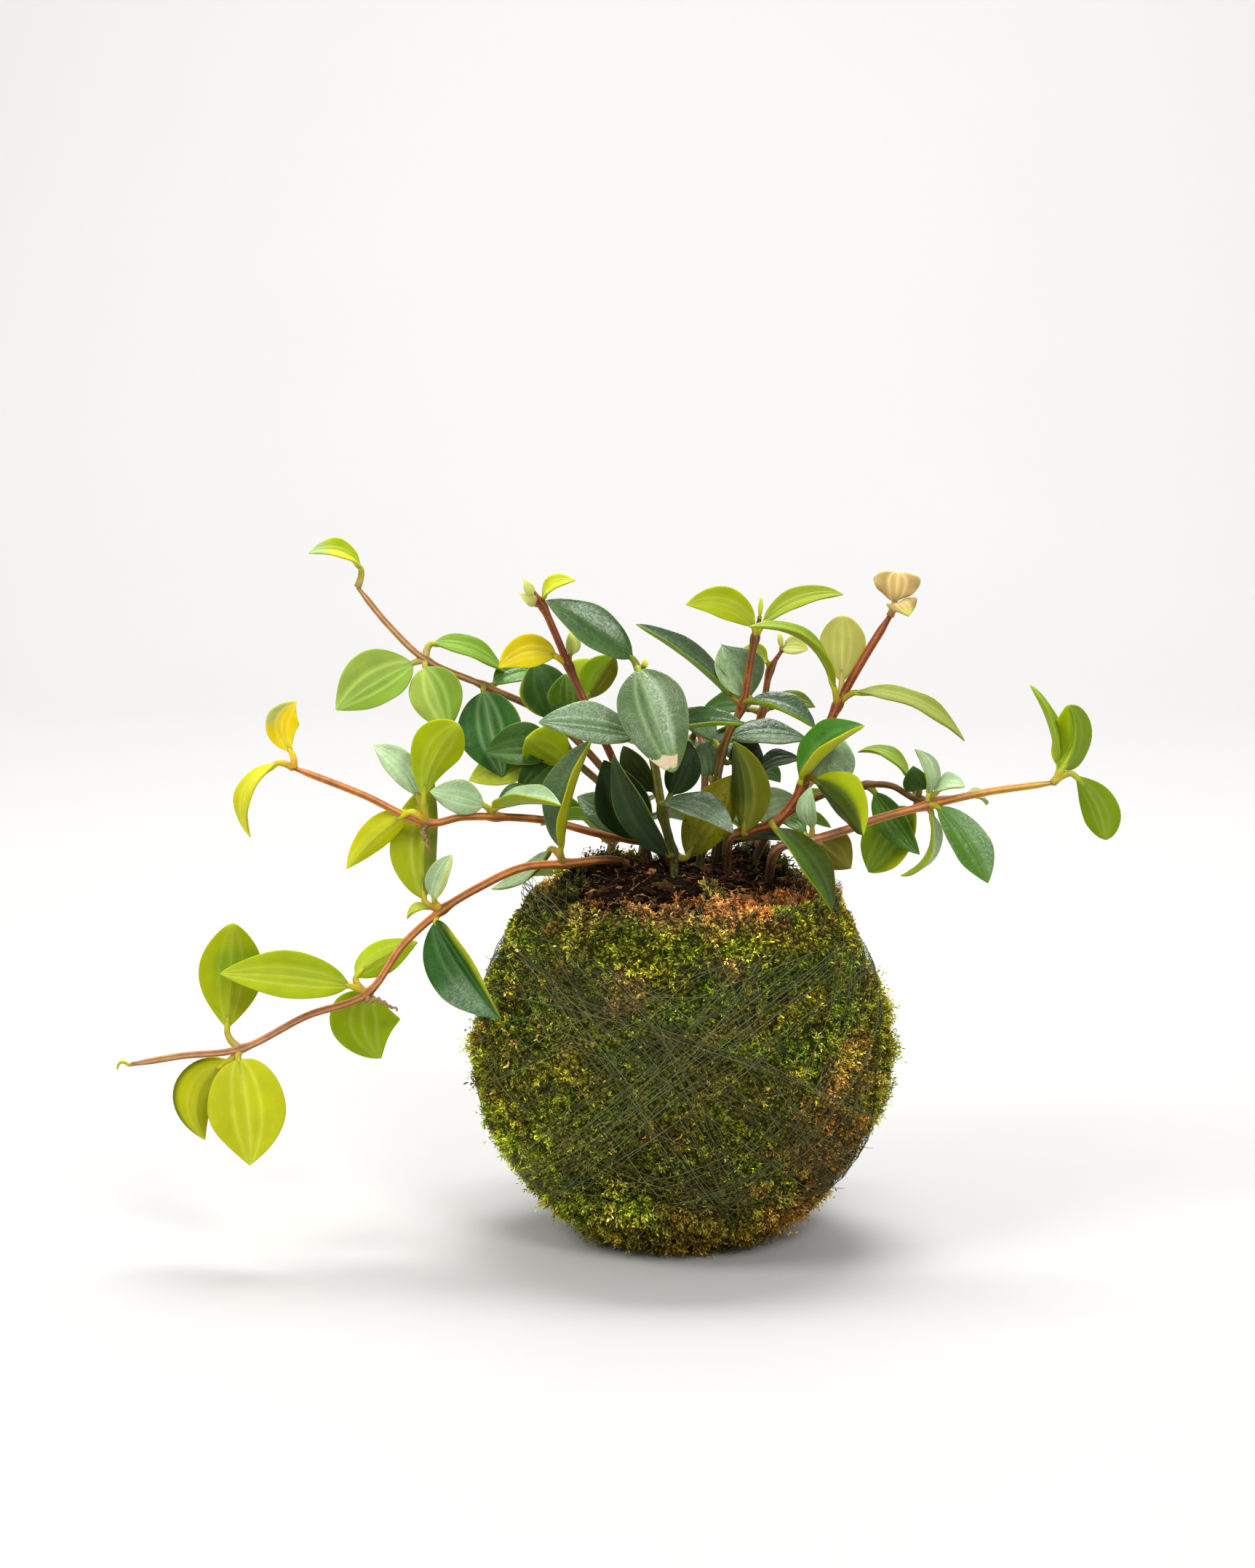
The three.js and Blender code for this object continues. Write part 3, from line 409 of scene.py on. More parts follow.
def moss_point(reach, heading):
    """Points on the moss's skin with its swellings, their normals, and how thickly thread covers them."""
    radius, height = on_outline(reach)
    step = 1.2
    dr, dz = on_outline(reach + step) - on_outline(reach - step)
    size = np.hypot(dr, dz) + 1e-9
    cos, sin = np.cos(heading), np.sin(heading)
    point = np.stack([radius * cos, radius * sin, height], axis=-1)
    normal = np.stack([dz / size * cos, dz / size * sin, -dr / size], axis=-1)
    x, y, z = point.T
    cover = thread_cover(point)
    free = 1 - cover
    rough = 1.8 * (noise(point, 11.0, 3) - 0.45) + 2.0 * (noise(point, 4.6, 5) - 0.5)
    rough = rough + 1.2 * (noise(point, 1.9, 7) - 0.5)
    away = (-2.1 + rough * (0.45 + 0.65 * free) + 0.5 * free) * smooth_step(z, 0.5, 9.0)
    lip = smooth_step(z, 94.0, 99.0)
    away = away - (1.2 + 3.4 * smooth_step(-x, -14.0, 4.0)) * lip * smooth_step(-y, 8.0, 26.0)
    away = away - 3.2 * smooth_step(z, 91.0, 98.0) * smooth_step(-x, 24.0, 40.0)
    away = away + lip * 1.4 * (noise(point, 6.5, 11) - 0.45)
    away = away + 2.6 * smooth_step(np.hypot(x, y), 42.5, 44.0) * np.exp(-(((z - 90.0) / 6.0) ** 2))
    return point + normal * away[:, None], normal, cover


# Colours of the moss, by place on the ball's front and by chance elsewhere
MOSS = {
    "bright": (0.37, 0.43, 0.022),
    "green": (0.18, 0.27, 0.018),
    "olive": (0.27, 0.235, 0.018),
    "dark": (0.075, 0.080, 0.016),
    "straw": (0.58, 0.47, 0.110),
    "rust": (0.45, 0.185, 0.050),
    "brown": (0.21, 0.100, 0.020),
    "tan": (0.74, 0.40, 0.125),
}
PATCHES = [  # right, up, half width, half height, colour, how much of it shows
    (-1, 38, 32, 7.5, "tan", 0.97), (22, 41, 8, 8, "rust", 0.95), (31, 33, 7, 5, "rust", 0.5),
    (-38, 42, 15, 9, "dark", 1.0), (34, 36, 5, 5, "bright", 0.8), (2, 29, 24, 7, "bright", 0.42),
    (-16, 33, 9, 4, "green", 0.7), (-16, 18, 6, 4, "tan", 0.6), (-15, 12, 5, 3, "tan", 0.45),
    (14, 22, 7, 3, "tan", 0.6), (10, 4, 6, 3, "tan", 0.5), (-34, -1, 4, 3, "tan", 0.5),
    (-38, -26, 17, 15, "bright", 0.7), (-50, -10, 9, 16, "olive", 0.5), (-12, -38, 15, 10, "green", 0.5),
    (2, -50, 18, 6, "brown", 0.6), (-10, -34, 26, 12, "brown", 0.3), (52, 5, 8, 26, "olive", 0.5),
    (42, -28, 12, 14, "rust", 0.6), (30, -46, 14, 9, "rust", 0.6), (46, -8, 8, 9, "tan", 0.35),
    (22, -20, 14, 12, "olive", 0.4),
]
TONES_SEED = 40


def moss_tones(points, cover):
    """A colour for each point of the moss."""
    tones = np.tile(MOSS["olive"], (len(points), 1))
    pick, small, tiny = (noise(points, size, TONES_SEED + k) for k, size in ((1, 9.0), (2, 3.2), (3, 1.3)))

    def lay(colour, share):
        tones[:] = tones + (np.array(MOSS[colour]) - tones) * np.clip(share, 0, 1)[:, None]

    lay("green", smooth_step(pick, 0.40, 0.62))
    lay("bright", 0.8 * smooth_step(small, 0.50, 0.72))
    lay("dark", 0.55 * smooth_step(noise(points, 5.0, TONES_SEED + 4), 0.55, 0.78))
    right, up = shown_at(points)
    front = smooth_step(-points[:, 1], -6.0, 10.0)
    for at, height, wide, high, colour, amount in PATCHES:
        off = np.hypot((right - at) / wide, (up - height) / high)
        edge = off + 0.9 * (pick - 0.5) + 0.8 * (small - 0.5)
        lay(colour, front * amount * smooth_step(-edge, -1.15, -0.65))
    rim = smooth_step(points[:, 2], 93.0, 97.5)
    lay("tan", rim * (1 - front) * 0.8 * smooth_step(small, 0.30, 0.55))
    lay("rust", 0.6 * smooth_step(noise(points, 2.6, TONES_SEED + 5) + 0.25 * (pick - 0.5), 0.74, 0.84))
    lay("straw", 0.7 * smooth_step(noise(points, 2.1, TONES_SEED + 6), 0.72, 0.82))
    lay("brown", 0.6 * smooth_step(14.0 - points[:, 2], 0.0, 14.0) * smooth_step(pick, 0.35, 0.6))
    shade = 1 - 0.05 * smooth_step(cover, 0.15, 0.75)
    return tones * (shade * (0.55 + 0.9 * tiny))[:, None]


SPRIGS, QUICK_SPRIGS = 24000, 5600
SPRIGS_IN_CLUMP, LEAFLETS, STALKS = 4, 8, 9
CLUMP_SPREAD = 1.1
SKIN_ROWS, SKIN_COLUMNS = 100, 200
QUARTERS = ["moss_front_left", "moss_front_right", "moss_back_right", "moss_back_left"]


def add_moss(skin, sprig):
    reach = np.linspace(0, FULL_REACH, SKIN_ROWS)
    reach, heading = np.meshgrid(reach, around(SKIN_COLUMNS), indexing="ij")
    point, _, cover = moss_point(reach.ravel(), heading.ravel())
    point[:, 2] = np.maximum(point[:, 2], 0.0)
    pile = Pile("tone")
    # Painted shade: the skin under the sprigs is darkened to a fifth to a third of the moss's colour.
    tones = moss_tones(point, cover) * (0.20 + 0.14 * cover)[:, None]
    pile.add(point, grid_faces(SKIN_ROWS, SKIN_COLUMNS, ring=True), tone=opaque(tones))
    pile.make("moss_skin", [skin], ["moss_cover"])
    rng = np.random.default_rng(MOSS_SEED)
    sprigs = SPRIGS
    reach, heading, radius = moss_hearts(rng, sprigs // SPRIGS_IN_CLUMP)
    for quarter, name in enumerate(QUARTERS):
        low = (quarter / 4 - 0.5) * TURN
        chosen = (heading >= low) & (heading < low + TURN / 4)
        heart, _, cover = moss_point(reach[chosen], heading[chosen])
        spread = rng.normal(0, CLUMP_SPREAD, (2, len(heart)))
        beside = np.clip(reach[chosen] + spread[0], 0, FULL_REACH)
        point, normal, _ = moss_point(beside, heading[chosen] + spread[1] / np.maximum(radius[chosen], 4.0))
        pile = Pile("tone")
        add_sprigs(pile, rng, heart, point, normal, cover, moss_tones(heart, cover))
        add_stalks(pile, rng, point, normal)
        pile.make(name, [sprig], smooth=False)
    pile = Pile("tone")
    for tuft in TUFTS:
        add_tuft(pile, rng, *tuft)
    pile.make("moss_on_soil", [sprig], smooth=False)


# Tufts of moss on the soil: x, y, spread, how many sprigs, colour
TUFTS = [
    (10, -34, 4, 110, "tan"), (18, -31, 5, 170, "rust"), (25, -26, 5, 200, "rust"), (-2, -36, 3, 60, "tan"),
    (-12, -35, 3, 60, "tan"), (-25, -28, 4, 80, "brown"), (31, -19, 5, 150, "rust"), (-33, -10, 6, 140, "dark"),
    (-24, 4, 5, 110, "dark"), (-15, 12, 5, 70, "olive"), (-29, 14, 6, 90, "dark"), (9, -23, 3, 50, "straw"),
    (3, -30, 2, 30, "rust"), (3, 24, 6, 60, "olive"), (26, 14, 7, 120, "dark"), (-8, 31, 6, 80, "green"),
    (18, 27, 7, 120, "dark"), (34, -4, 4, 60, "brown"), (-33, -20, 4, 70, "dark"),
]


def add_tuft(pile, rng, x, y, spread, count, colour):
    per_clump = SPRIGS_IN_CLUMP
    clumps = max(2, count // per_clump)
    count = clumps * per_clump
    hearts = np.repeat(np.array([x, y]) + rng.normal(0, spread * 0.5, (clumps, 2)), per_clump, axis=0)
    spots = hearts + rng.normal(0, 0.9, (count, 2))
    spots = spots / np.maximum(1.0, np.hypot(spots[:, 0], spots[:, 1]) / 37.0)[:, None]
    height = ground(spots[:, 0], spots[:, 1]) + rng.uniform(0, 2.2, count)
    normal = unit(np.column_stack([spots * 0.012, np.ones(count)]) + rng.normal(0, 0.25, (count, 3)))
    tones = np.array(MOSS[colour]) * rng.uniform(0.7, 1.1, (count, 1))
    heart, point = np.column_stack([hearts, height]), np.column_stack([spots, height])
    add_sprigs(pile, rng, heart, point, normal, np.zeros(count), tones)


def moss_hearts(rng, clumps):
    """Where the clumps sit, spread evenly over the moss, and none under the foot."""
    reach = rng.uniform(0, FULL_REACH, clumps * 3)
    heading = rng.uniform(-math.pi, math.pi, clumps * 3)
    radius, height = on_outline(reach)
    keep = (rng.uniform(0, BALL_RADIUS, clumps * 3) < radius) & (height > 0.6)
    return [np.repeat(row[keep][:clumps], SPRIGS_IN_CLUMP) for row in (reach, heading, radius)]


# Painted shade: each leaflet is darkest at its foot and lightest at its tip.
LEAFLET_PAINTED_SHADE = np.array([0.45, 0.95, 1.6, 0.95])  # foot, one side, tip, other side
LEAFLET_TURN = 2.4


def add_sprigs(pile, rng, heart, point, normal, cover, tones):
    """Sprigs of moss: short bent shoots with leaflets round them, that lean away from their clump's heart."""
    count = len(point)
    away = np.linalg.norm(point - heart, axis=1)
    fate = lattice(np.floor(heart * 9).astype(np.int64), 3)
    tangent = square_to(unit(point - heart) + rng.normal(0, 0.45, (count, 3)) + [0, 0, -0.3], normal)
    pressed = smooth_step(cover, 0.12, 0.6)
    # Painted shade: sprigs are darker in the hollows between the moss's swellings and lighter on their crowns,
    # which are also longer.
    crown = smooth_step(noise(point, 4.6, 5), 0.32, 0.68)
    tones = tones * ((0.48 + 0.84 * crown + 0.45 * pressed) * (0.58 + 0.86 * fate))[:, None]
    tones = tones * rng.uniform(0.8, 1.25, (count, 1))
    lean = np.radians((66 - 20 * np.minimum(away, 2.4) + rng.normal(0, 11, count)) * (1 - 0.8 * pressed))
    length = rng.uniform(1.7, 3.7, count) * (1 - 0.42 * pressed) * (0.8 + 0.25 * crown + 0.25 * fate)
    wild = rng.uniform(size=count) > 0.95
    length = np.where(wild & (pressed < 0.5), length * 1.4, length)
    sides = np.maximum(smooth_step(-point[:, 1], 5.0, 25.0), smooth_step(-point[:, 0], 24.0, 38.0))
    length = length * (1 - 0.45 * smooth_step(point[:, 2], 91.0, 95.0) * sides)
    axis = tangent * np.cos(lean)[:, None] + normal * np.sin(lean)[:, None]
    root = point - normal * (0.25 + 0.25 * away)[:, None]
    bend = rng.uniform(-0.25, 0.55, count)
    first = square_to(rng.normal(size=(count, 3)), axis)
    second = np.cross(axis, first)
    quads, colours = [], []
    for k in range(LEAFLETS):
        share = (k + 0.6) / LEAFLETS
        spread = np.radians(rng.uniform(25, 68, count))
        turn = k * LEAFLET_TURN + rng.uniform(-0.5, 0.5, count)
        way = ring_of(axis, ring_of(first, second, turn), spread)
        size = rng.uniform(1.0, 2.3, count) * (1.1 - 0.5 * share)
        start = root + axis * (length * share)[:, None] + normal * (bend * length * share**2)[:, None]
        across = square_to(rng.normal(size=(count, 3)), way)
        wide = (size * rng.uniform(0.15, 0.25, count))[:, None]
        middle = start + way * (size * 0.45)[:, None]
        keel = np.cross(way, across) * (wide * 0.5)
        tip = start + way * size[:, None]
        left, right = middle + across * wide + keel, middle - across * wide + keel
        quads.append(np.stack([start, left, tip, right], axis=1))
        # Painted shade: leaflets low on a sprig are darker, high ones lighter.
        lift = 0.22 + 1.35 * share**1.3 + rng.normal(0, 0.22, count)
        tone = tones * np.clip(lift, 0.12, 2.4)[:, None]
        tone[:, 0] *= rng.uniform(0.85, 1.2, count)
        colours.append(tone[:, None] * LEAFLET_PAINTED_SHADE[:, None])
    corners = np.concatenate(quads).reshape(-1, 3)
    corners[:, 2] = np.maximum(corners[:, 2], 0.15)
    faces = np.arange(len(corners)).reshape(-1, 4)
    pile.add(corners, faces, tone=opaque(np.concatenate(colours).reshape(-1, 3)))


def add_stalks(pile, rng, points, normals):
    """A few dry stalks that stand out of the moss."""
    for index in rng.choice(len(points), STALKS, replace=False):
        way = square_to(rng.normal(size=3) + np.array([0, 0, 0.6]), normals[index])
        s = np.linspace(0, 1, 7)[:, None]
        path = points[index] + normals[index] * (4.5 * s) + way * (rng.uniform(1, 6) * s**2)
        path[:, 2] = np.maximum(path[:, 2], 0.3)
        tone = np.array([0.22, 0.11, 0.04]) * rng.uniform(0.5, 1.2)
        add_tube(pile, path, np.linspace(0.13, 0.06, 7), 3, tone=[*tone, 1.0])


# Thread
HALVINGS = 26


def hugging(centre, ways):
    """How far the ball's outline lies from centre along each way."""
    near, far = np.full(len(ways), 20.0), np.full(len(ways), 95.0)
    for _ in range(HALVINGS):
        middle = (near + far) / 2
        x, y, z = (centre + ways * middle[:, None]).T
        inside = (np.hypot(x, y) < ball_radius(z)) & (z < CREST)
        near, far = np.where(inside, middle, near), np.where(inside, far, middle)
    return near


THREAD_STEPS, THREAD_SIDES, THREAD_RADIUS = 104, 3, 0.082
THREAD_TONE = np.array([0.090, 0.106, 0.044])


def add_thread(material):
    rng = np.random.default_rng(THREAD_SEED)
    pile = Pile("tone")
    faces = grid_faces(THREAD_STEPS + 1, THREAD_SIDES, ring=True) % (THREAD_STEPS * THREAD_SIDES)
    for tilt, heading, drop, turns, spread in BUNDLES:
        for _ in range(turns * 2):
            lean = tilt + rng.normal(0, 3.0)
            axis = turn_axis(lean, heading + rng.normal(0, 5.0))
            centre = MIDDLE - axis * (drop + rng.normal(0, spread * 0.85))
            first = unit(np.cross([0, 0, 1.0], axis))
            ways = ring_of(first, np.cross(axis, first), around(THREAD_STEPS))
            path = centre + ways * hugging(centre, ways)[:, None]
            out = unit(path - MIDDLE)
            buried = -0.06 + 1.3 * (noise(path + rng.uniform(0, 90), 9.0, 23) - 0.5)
            free = 1 - thread_cover(path)
            path = path + out * (buried - 0.5 * free + 0.6 * (noise(path, 3.4, 29) - 0.5))[:, None]
            path[:, 2] = np.clip(path[:, 2], 0.3, 100.6)
            rings = [
                path + out * (THREAD_RADIUS * math.cos(turn)) + axis * (THREAD_RADIUS * math.sin(turn))
                for turn in around(THREAD_SIDES)
            ]
            tone = THREAD_TONE * (0.40 + 1.90 * rng.uniform() ** 2)
            tone[0] *= rng.uniform(0.85, 1.35)
            pile.add(np.stack(rings, axis=1).reshape(-1, 3), faces, tone=[*tone, 1.0])
    pile.make("binding_thread_turns", [material], ["binding_thread"])


# Soil
SOIL_ROWS, SOIL_COLUMNS, SOIL_RADIUS = 60, 180, 37.2
SOIL_TONE = np.array([0.009, 0.0045, 0.0028])
CRUMBS, QUICK_CRUMBS = 2600, 500
FIBRES, QUICK_FIBRES, FIBRE_STEPS = 260, 40, 8


def add_soil(material):
    rng = np.random.default_rng(SOIL_SEED)
    pile = Pile("tone")
    radius = np.linspace(0, SOIL_RADIUS, SOIL_ROWS)
    radius, heading = np.meshgrid(radius, around(SOIL_COLUMNS), indexing="ij")
    x, y = radius * np.cos(heading), radius * np.sin(heading)
    flat = np.stack([x, y, ground(x, y)], axis=-1).reshape(-1, 3)
    rough = 1.6 * (noise(flat, 5.0, 61) - 0.5) + 1.5 * (noise(flat, 2.3, 62) - 0.5)
    flat[:, 2] += rough + 0.9 * (noise(flat, 1.1, 63) - 0.5)
    tones = SOIL_TONE * (0.5 + noise(flat, 1.6, 64))[:, None]
    pile.add(flat, grid_faces(SOIL_ROWS, SOIL_COLUMNS, ring=True), tone=opaque(tones))
    add_bits(pile, rng)
    add_fibres(pile, rng)
    pile.make("soil_surface", [material], ["soil_ball"], smooth=False)


BITS = [  # colour of the crumbs and chips, and the share of them that has it
    ((0.008, 0.004, 0.002), 0.38),
    ((0.017, 0.007, 0.004), 0.27),
    ((0.055, 0.022, 0.009), 0.18),
    ((0.24, 0.10, 0.040), 0.08),
    ((0.050, 0.035, 0.010), 0.09),
]
BOX_CORNERS = np.array([(i, j, k) for i in (-1, 1) for j in (-1, 1) for k in (-1, 1)], float)
BOX_SIDES = [(0, 1, 3, 2), (4, 6, 7, 5), (0, 4, 5, 1), (2, 3, 7, 6), (0, 2, 6, 4), (1, 5, 7, 3)]


def add_bits(pile, rng):
    """Crumbs, bark and chips on the soil: small broken prisms."""
    colours, shares = zip(*BITS)
    for _ in range(CRUMBS):
        way, out = rng.uniform(-math.pi, math.pi), 37.0 * math.sqrt(rng.uniform())
        x, y = out * math.cos(way), out * math.sin(way)
        long = rng.uniform(0.5, 1.5) if rng.uniform() < 0.8 else rng.uniform(1.5, 3.6)
        size = np.array([long, long * rng.uniform(0.35, 0.8), long * rng.uniform(0.2, 0.5)]) / 2
        shape = BOX_CORNERS * size * rng.uniform(0.55, 1.15, (8, 3))
        turn = Matrix.Rotation(rng.uniform(0, 6.3), 3, "Z") @ Matrix.Rotation(rng.normal(0, 0.5), 3, "X")
        shape = shape @ np.array(turn).T
        shape += [x, y, float(ground(x, y)) + rng.uniform(0.0, 0.9)]
        colour = np.array(colours[rng.choice(len(BITS), p=shares)])
        pile.add(shape, BOX_SIDES, tone=[*(colour * rng.uniform(0.7, 1.3)), 1.0])


PALE_ROOT, DARK_ROOT = np.array([0.26, 0.13, 0.055]), np.array([0.070, 0.032, 0.014])


def add_fibres(pile, rng):
    """Roots and fibres that lie loosely on the soil and round its edge."""
    for _ in range(FIBRES):
        way, out = rng.uniform(-math.pi, math.pi), rng.uniform(8, 38)
        x, y = out * math.cos(way), out * math.sin(way)
        heading = rng.uniform(0, 6.3)
        path = [np.array([x, y, float(ground(x, y)) + 0.3])]
        lift = rng.uniform(0.0, 0.5)
        for _ in range(FIBRE_STEPS):
            heading += rng.normal(0, 0.45)
            lift += rng.normal(-0.1, 0.15)
            stride = np.array([math.cos(heading), math.sin(heading), lift]) * rng.uniform(0.5, 1.2)
            spot = path[-1] + stride
            if np.hypot(spot[0], spot[1]) < 40:
                spot[2] = max(spot[2], float(ground(spot[0], spot[1])) + 0.25)
            path.append(spot)
        tone = PALE_ROOT if rng.uniform() < 0.35 else DARK_ROOT
        tone = [*(tone * rng.uniform(0.6, 1.3)), 1.0]
        add_tube(pile, np.array(path), rng.uniform(0.09, 0.22), 3, tone=tone)


# The plant
LOOKS = {  # upper side, underside, strength of the veins, finish
    "dark": ((0.030, 0.085, 0.009), (0.12, 0.19, 0.004), 0.2, "gloss"),
    # shade: the dark look with the calm finish, for leaves in the plant's shade; its weaker gloss is painted
    # shade.
    "shade": ((0.032, 0.088, 0.009), (0.12, 0.19, 0.004), 0.2, "calm"),
    "grass": ((0.012, 0.070, 0.003), (0.34, 0.42, 0.003), 0.45, "calm"),
    # shade_black: a near-black green for leaves deep inside the plant, painted shade.
    "shade_black": ((0.010, 0.026, 0.004), (0.05, 0.09, 0.003), 0.15, "calm"),
    "veined": ((0.030, 0.112, 0.016), (0.12, 0.19, 0.008), 1.0, "calm"),
    "grey": ((0.075, 0.140, 0.048), (0.20, 0.28, 0.010), 0.2, "gloss"),
    "silver": ((0.100, 0.170, 0.068), (0.22, 0.30, 0.015), 0.2, "gloss"),
    "banded": ((0.062, 0.118, 0.030), (0.22, 0.30, 0.015), 1.0, "gloss"),
    # slate: a pale silvery grey-green, partly the leaves' own tone and partly painted sheen; mottled when laid
    # as a patch.
    "slate": ((0.285, 0.400, 0.205), (0.26, 0.36, 0.020), 0.6, "gloss"),
    "steel": ((0.042, 0.074, 0.030), (0.10, 0.16, 0.010), 0.2, "gloss"),
    "green": ((0.060, 0.165, 0.006), (0.17, 0.27, 0.004), 0.3, "gloss"),
    "leafy": ((0.110, 0.215, 0.005), (0.20, 0.30, 0.004), 0.35, "gloss"),
    "vivid": ((0.042, 0.155, 0.006), (0.34, 0.42, 0.003), 0.35, "calm"),
    "fresh": ((0.190, 0.310, 0.012), (0.27, 0.36, 0.003), 0.5, "soft"),
    "golden": ((0.200, 0.280, 0.008), (0.24, 0.27, 0.003), 0.5, "soft"),
    "spring": ((0.270, 0.370, 0.055), (0.26, 0.34, 0.030), 0.7, "soft"),
    "apple": ((0.300, 0.360, 0.004), (0.31, 0.37, 0.003), 0.35, "soft"),
    "light": ((0.360, 0.420, 0.020), (0.36, 0.41, 0.004), 0.5, "soft"),
    "lime": ((0.440, 0.450, 0.010), (0.43, 0.44, 0.004), 0.4, "soft"),
    "yellow": ((0.600, 0.490, 0.004), (0.58, 0.48, 0.004), 0.4, "soft"),
    "olive": ((0.100, 0.130, 0.004), (0.165, 0.160, 0.003), 0.35, "calm"),
    "earth": ((0.120, 0.100, 0.010), (0.155, 0.135, 0.008), 0.35, "calm"),
    "moor": ((0.038, 0.060, 0.004), (0.045, 0.075, 0.003), 0.2, "calm"),
    "pale": ((0.400, 0.410, 0.110), (0.37, 0.38, 0.085), 0.6, "soft"),
    "cream": ((0.440, 0.295, 0.108), (0.46, 0.31, 0.11), 1.0, "soft"),
    "bud": ((0.450, 0.420, 0.040), (0.42, 0.40, 0.04), 0.2, "soft"),
}
# calm is a less glossy copy of the leaf material: partly the matte finish of undersides, partly painted shade
# for leaves deep in the plant.
FINISHES = ["gloss", "stem", "soft", "calm"]  # in the order of each spray's materials
STEMS = {
    "red": (0.185, 0.048, 0.020),
    "brown": (0.190, 0.085, 0.026),
    "rust": (0.235, 0.062, 0.014),
    "copper": (0.420, 0.155, 0.036),
    "bronze": (0.150, 0.080, 0.016),
    # dark: a near-black brown at the foot of most stems, painted shade under the leaves.
    "dark": (0.060, 0.028, 0.012),
    "moss": (0.070, 0.065, 0.012),
    "olive": (0.150, 0.150, 0.016),
    "tan": (0.380, 0.210, 0.085),
    "pink": (0.360, 0.160, 0.070),
    "gold": (0.480, 0.300, 0.045),
}
# What a leaf has unless its row says otherwise: how steeply its halves fold up, how far its rib bows towards
# the upper side and sways to one side, where it is widest, how blunt its ends are, and then specks, a browned
# rim, a torn tip, the swelling between its veins, and the waves of its rim
PLAIN_LEAF = {
    "fold": 20, "bow": 1.5, "sway": 0, "belly": 0.46, "ends": (0.62, 0.88),
    "specks": 0.0, "rim": 0.12, "harm": 0.0, "quilt": 0.30, "ripple": 1.0,
}


def spray(name, root, thick, colours, stem, leaves):
    """A leafy stem. thick and colours run from its foot to its tip, and stem holds its stations."""
    made = {"name": name, "root": root, "thick": thick, "colours": colours.split()}
    return {**made, "stem": stem, "leaves": leaves}


def leaf(at, base, tip, width, face, look, *patches, **shape):
    """A leaf at a station of its stem. face is the way that its upper side looks."""
    made = {"at": at, "base": base, "tip": tip, "width": width, "face": face, "look": look}
    return {**PLAIN_LEAF, **made, "patches": patches, **shape}


def patch(look, way, place, amount, low=-1, high=2):
    """Another look on part of a leaf, or for a sheen patch a painted highlight: towards way, from place on, and
    from low to high along the rib.
    """
    return look, way, place, low, high, amount


def all_over(look, amount, low=-1, high=2):
    """Another look on both halves of a leaf."""
    return patch(look, "up", -3, amount, low, high)
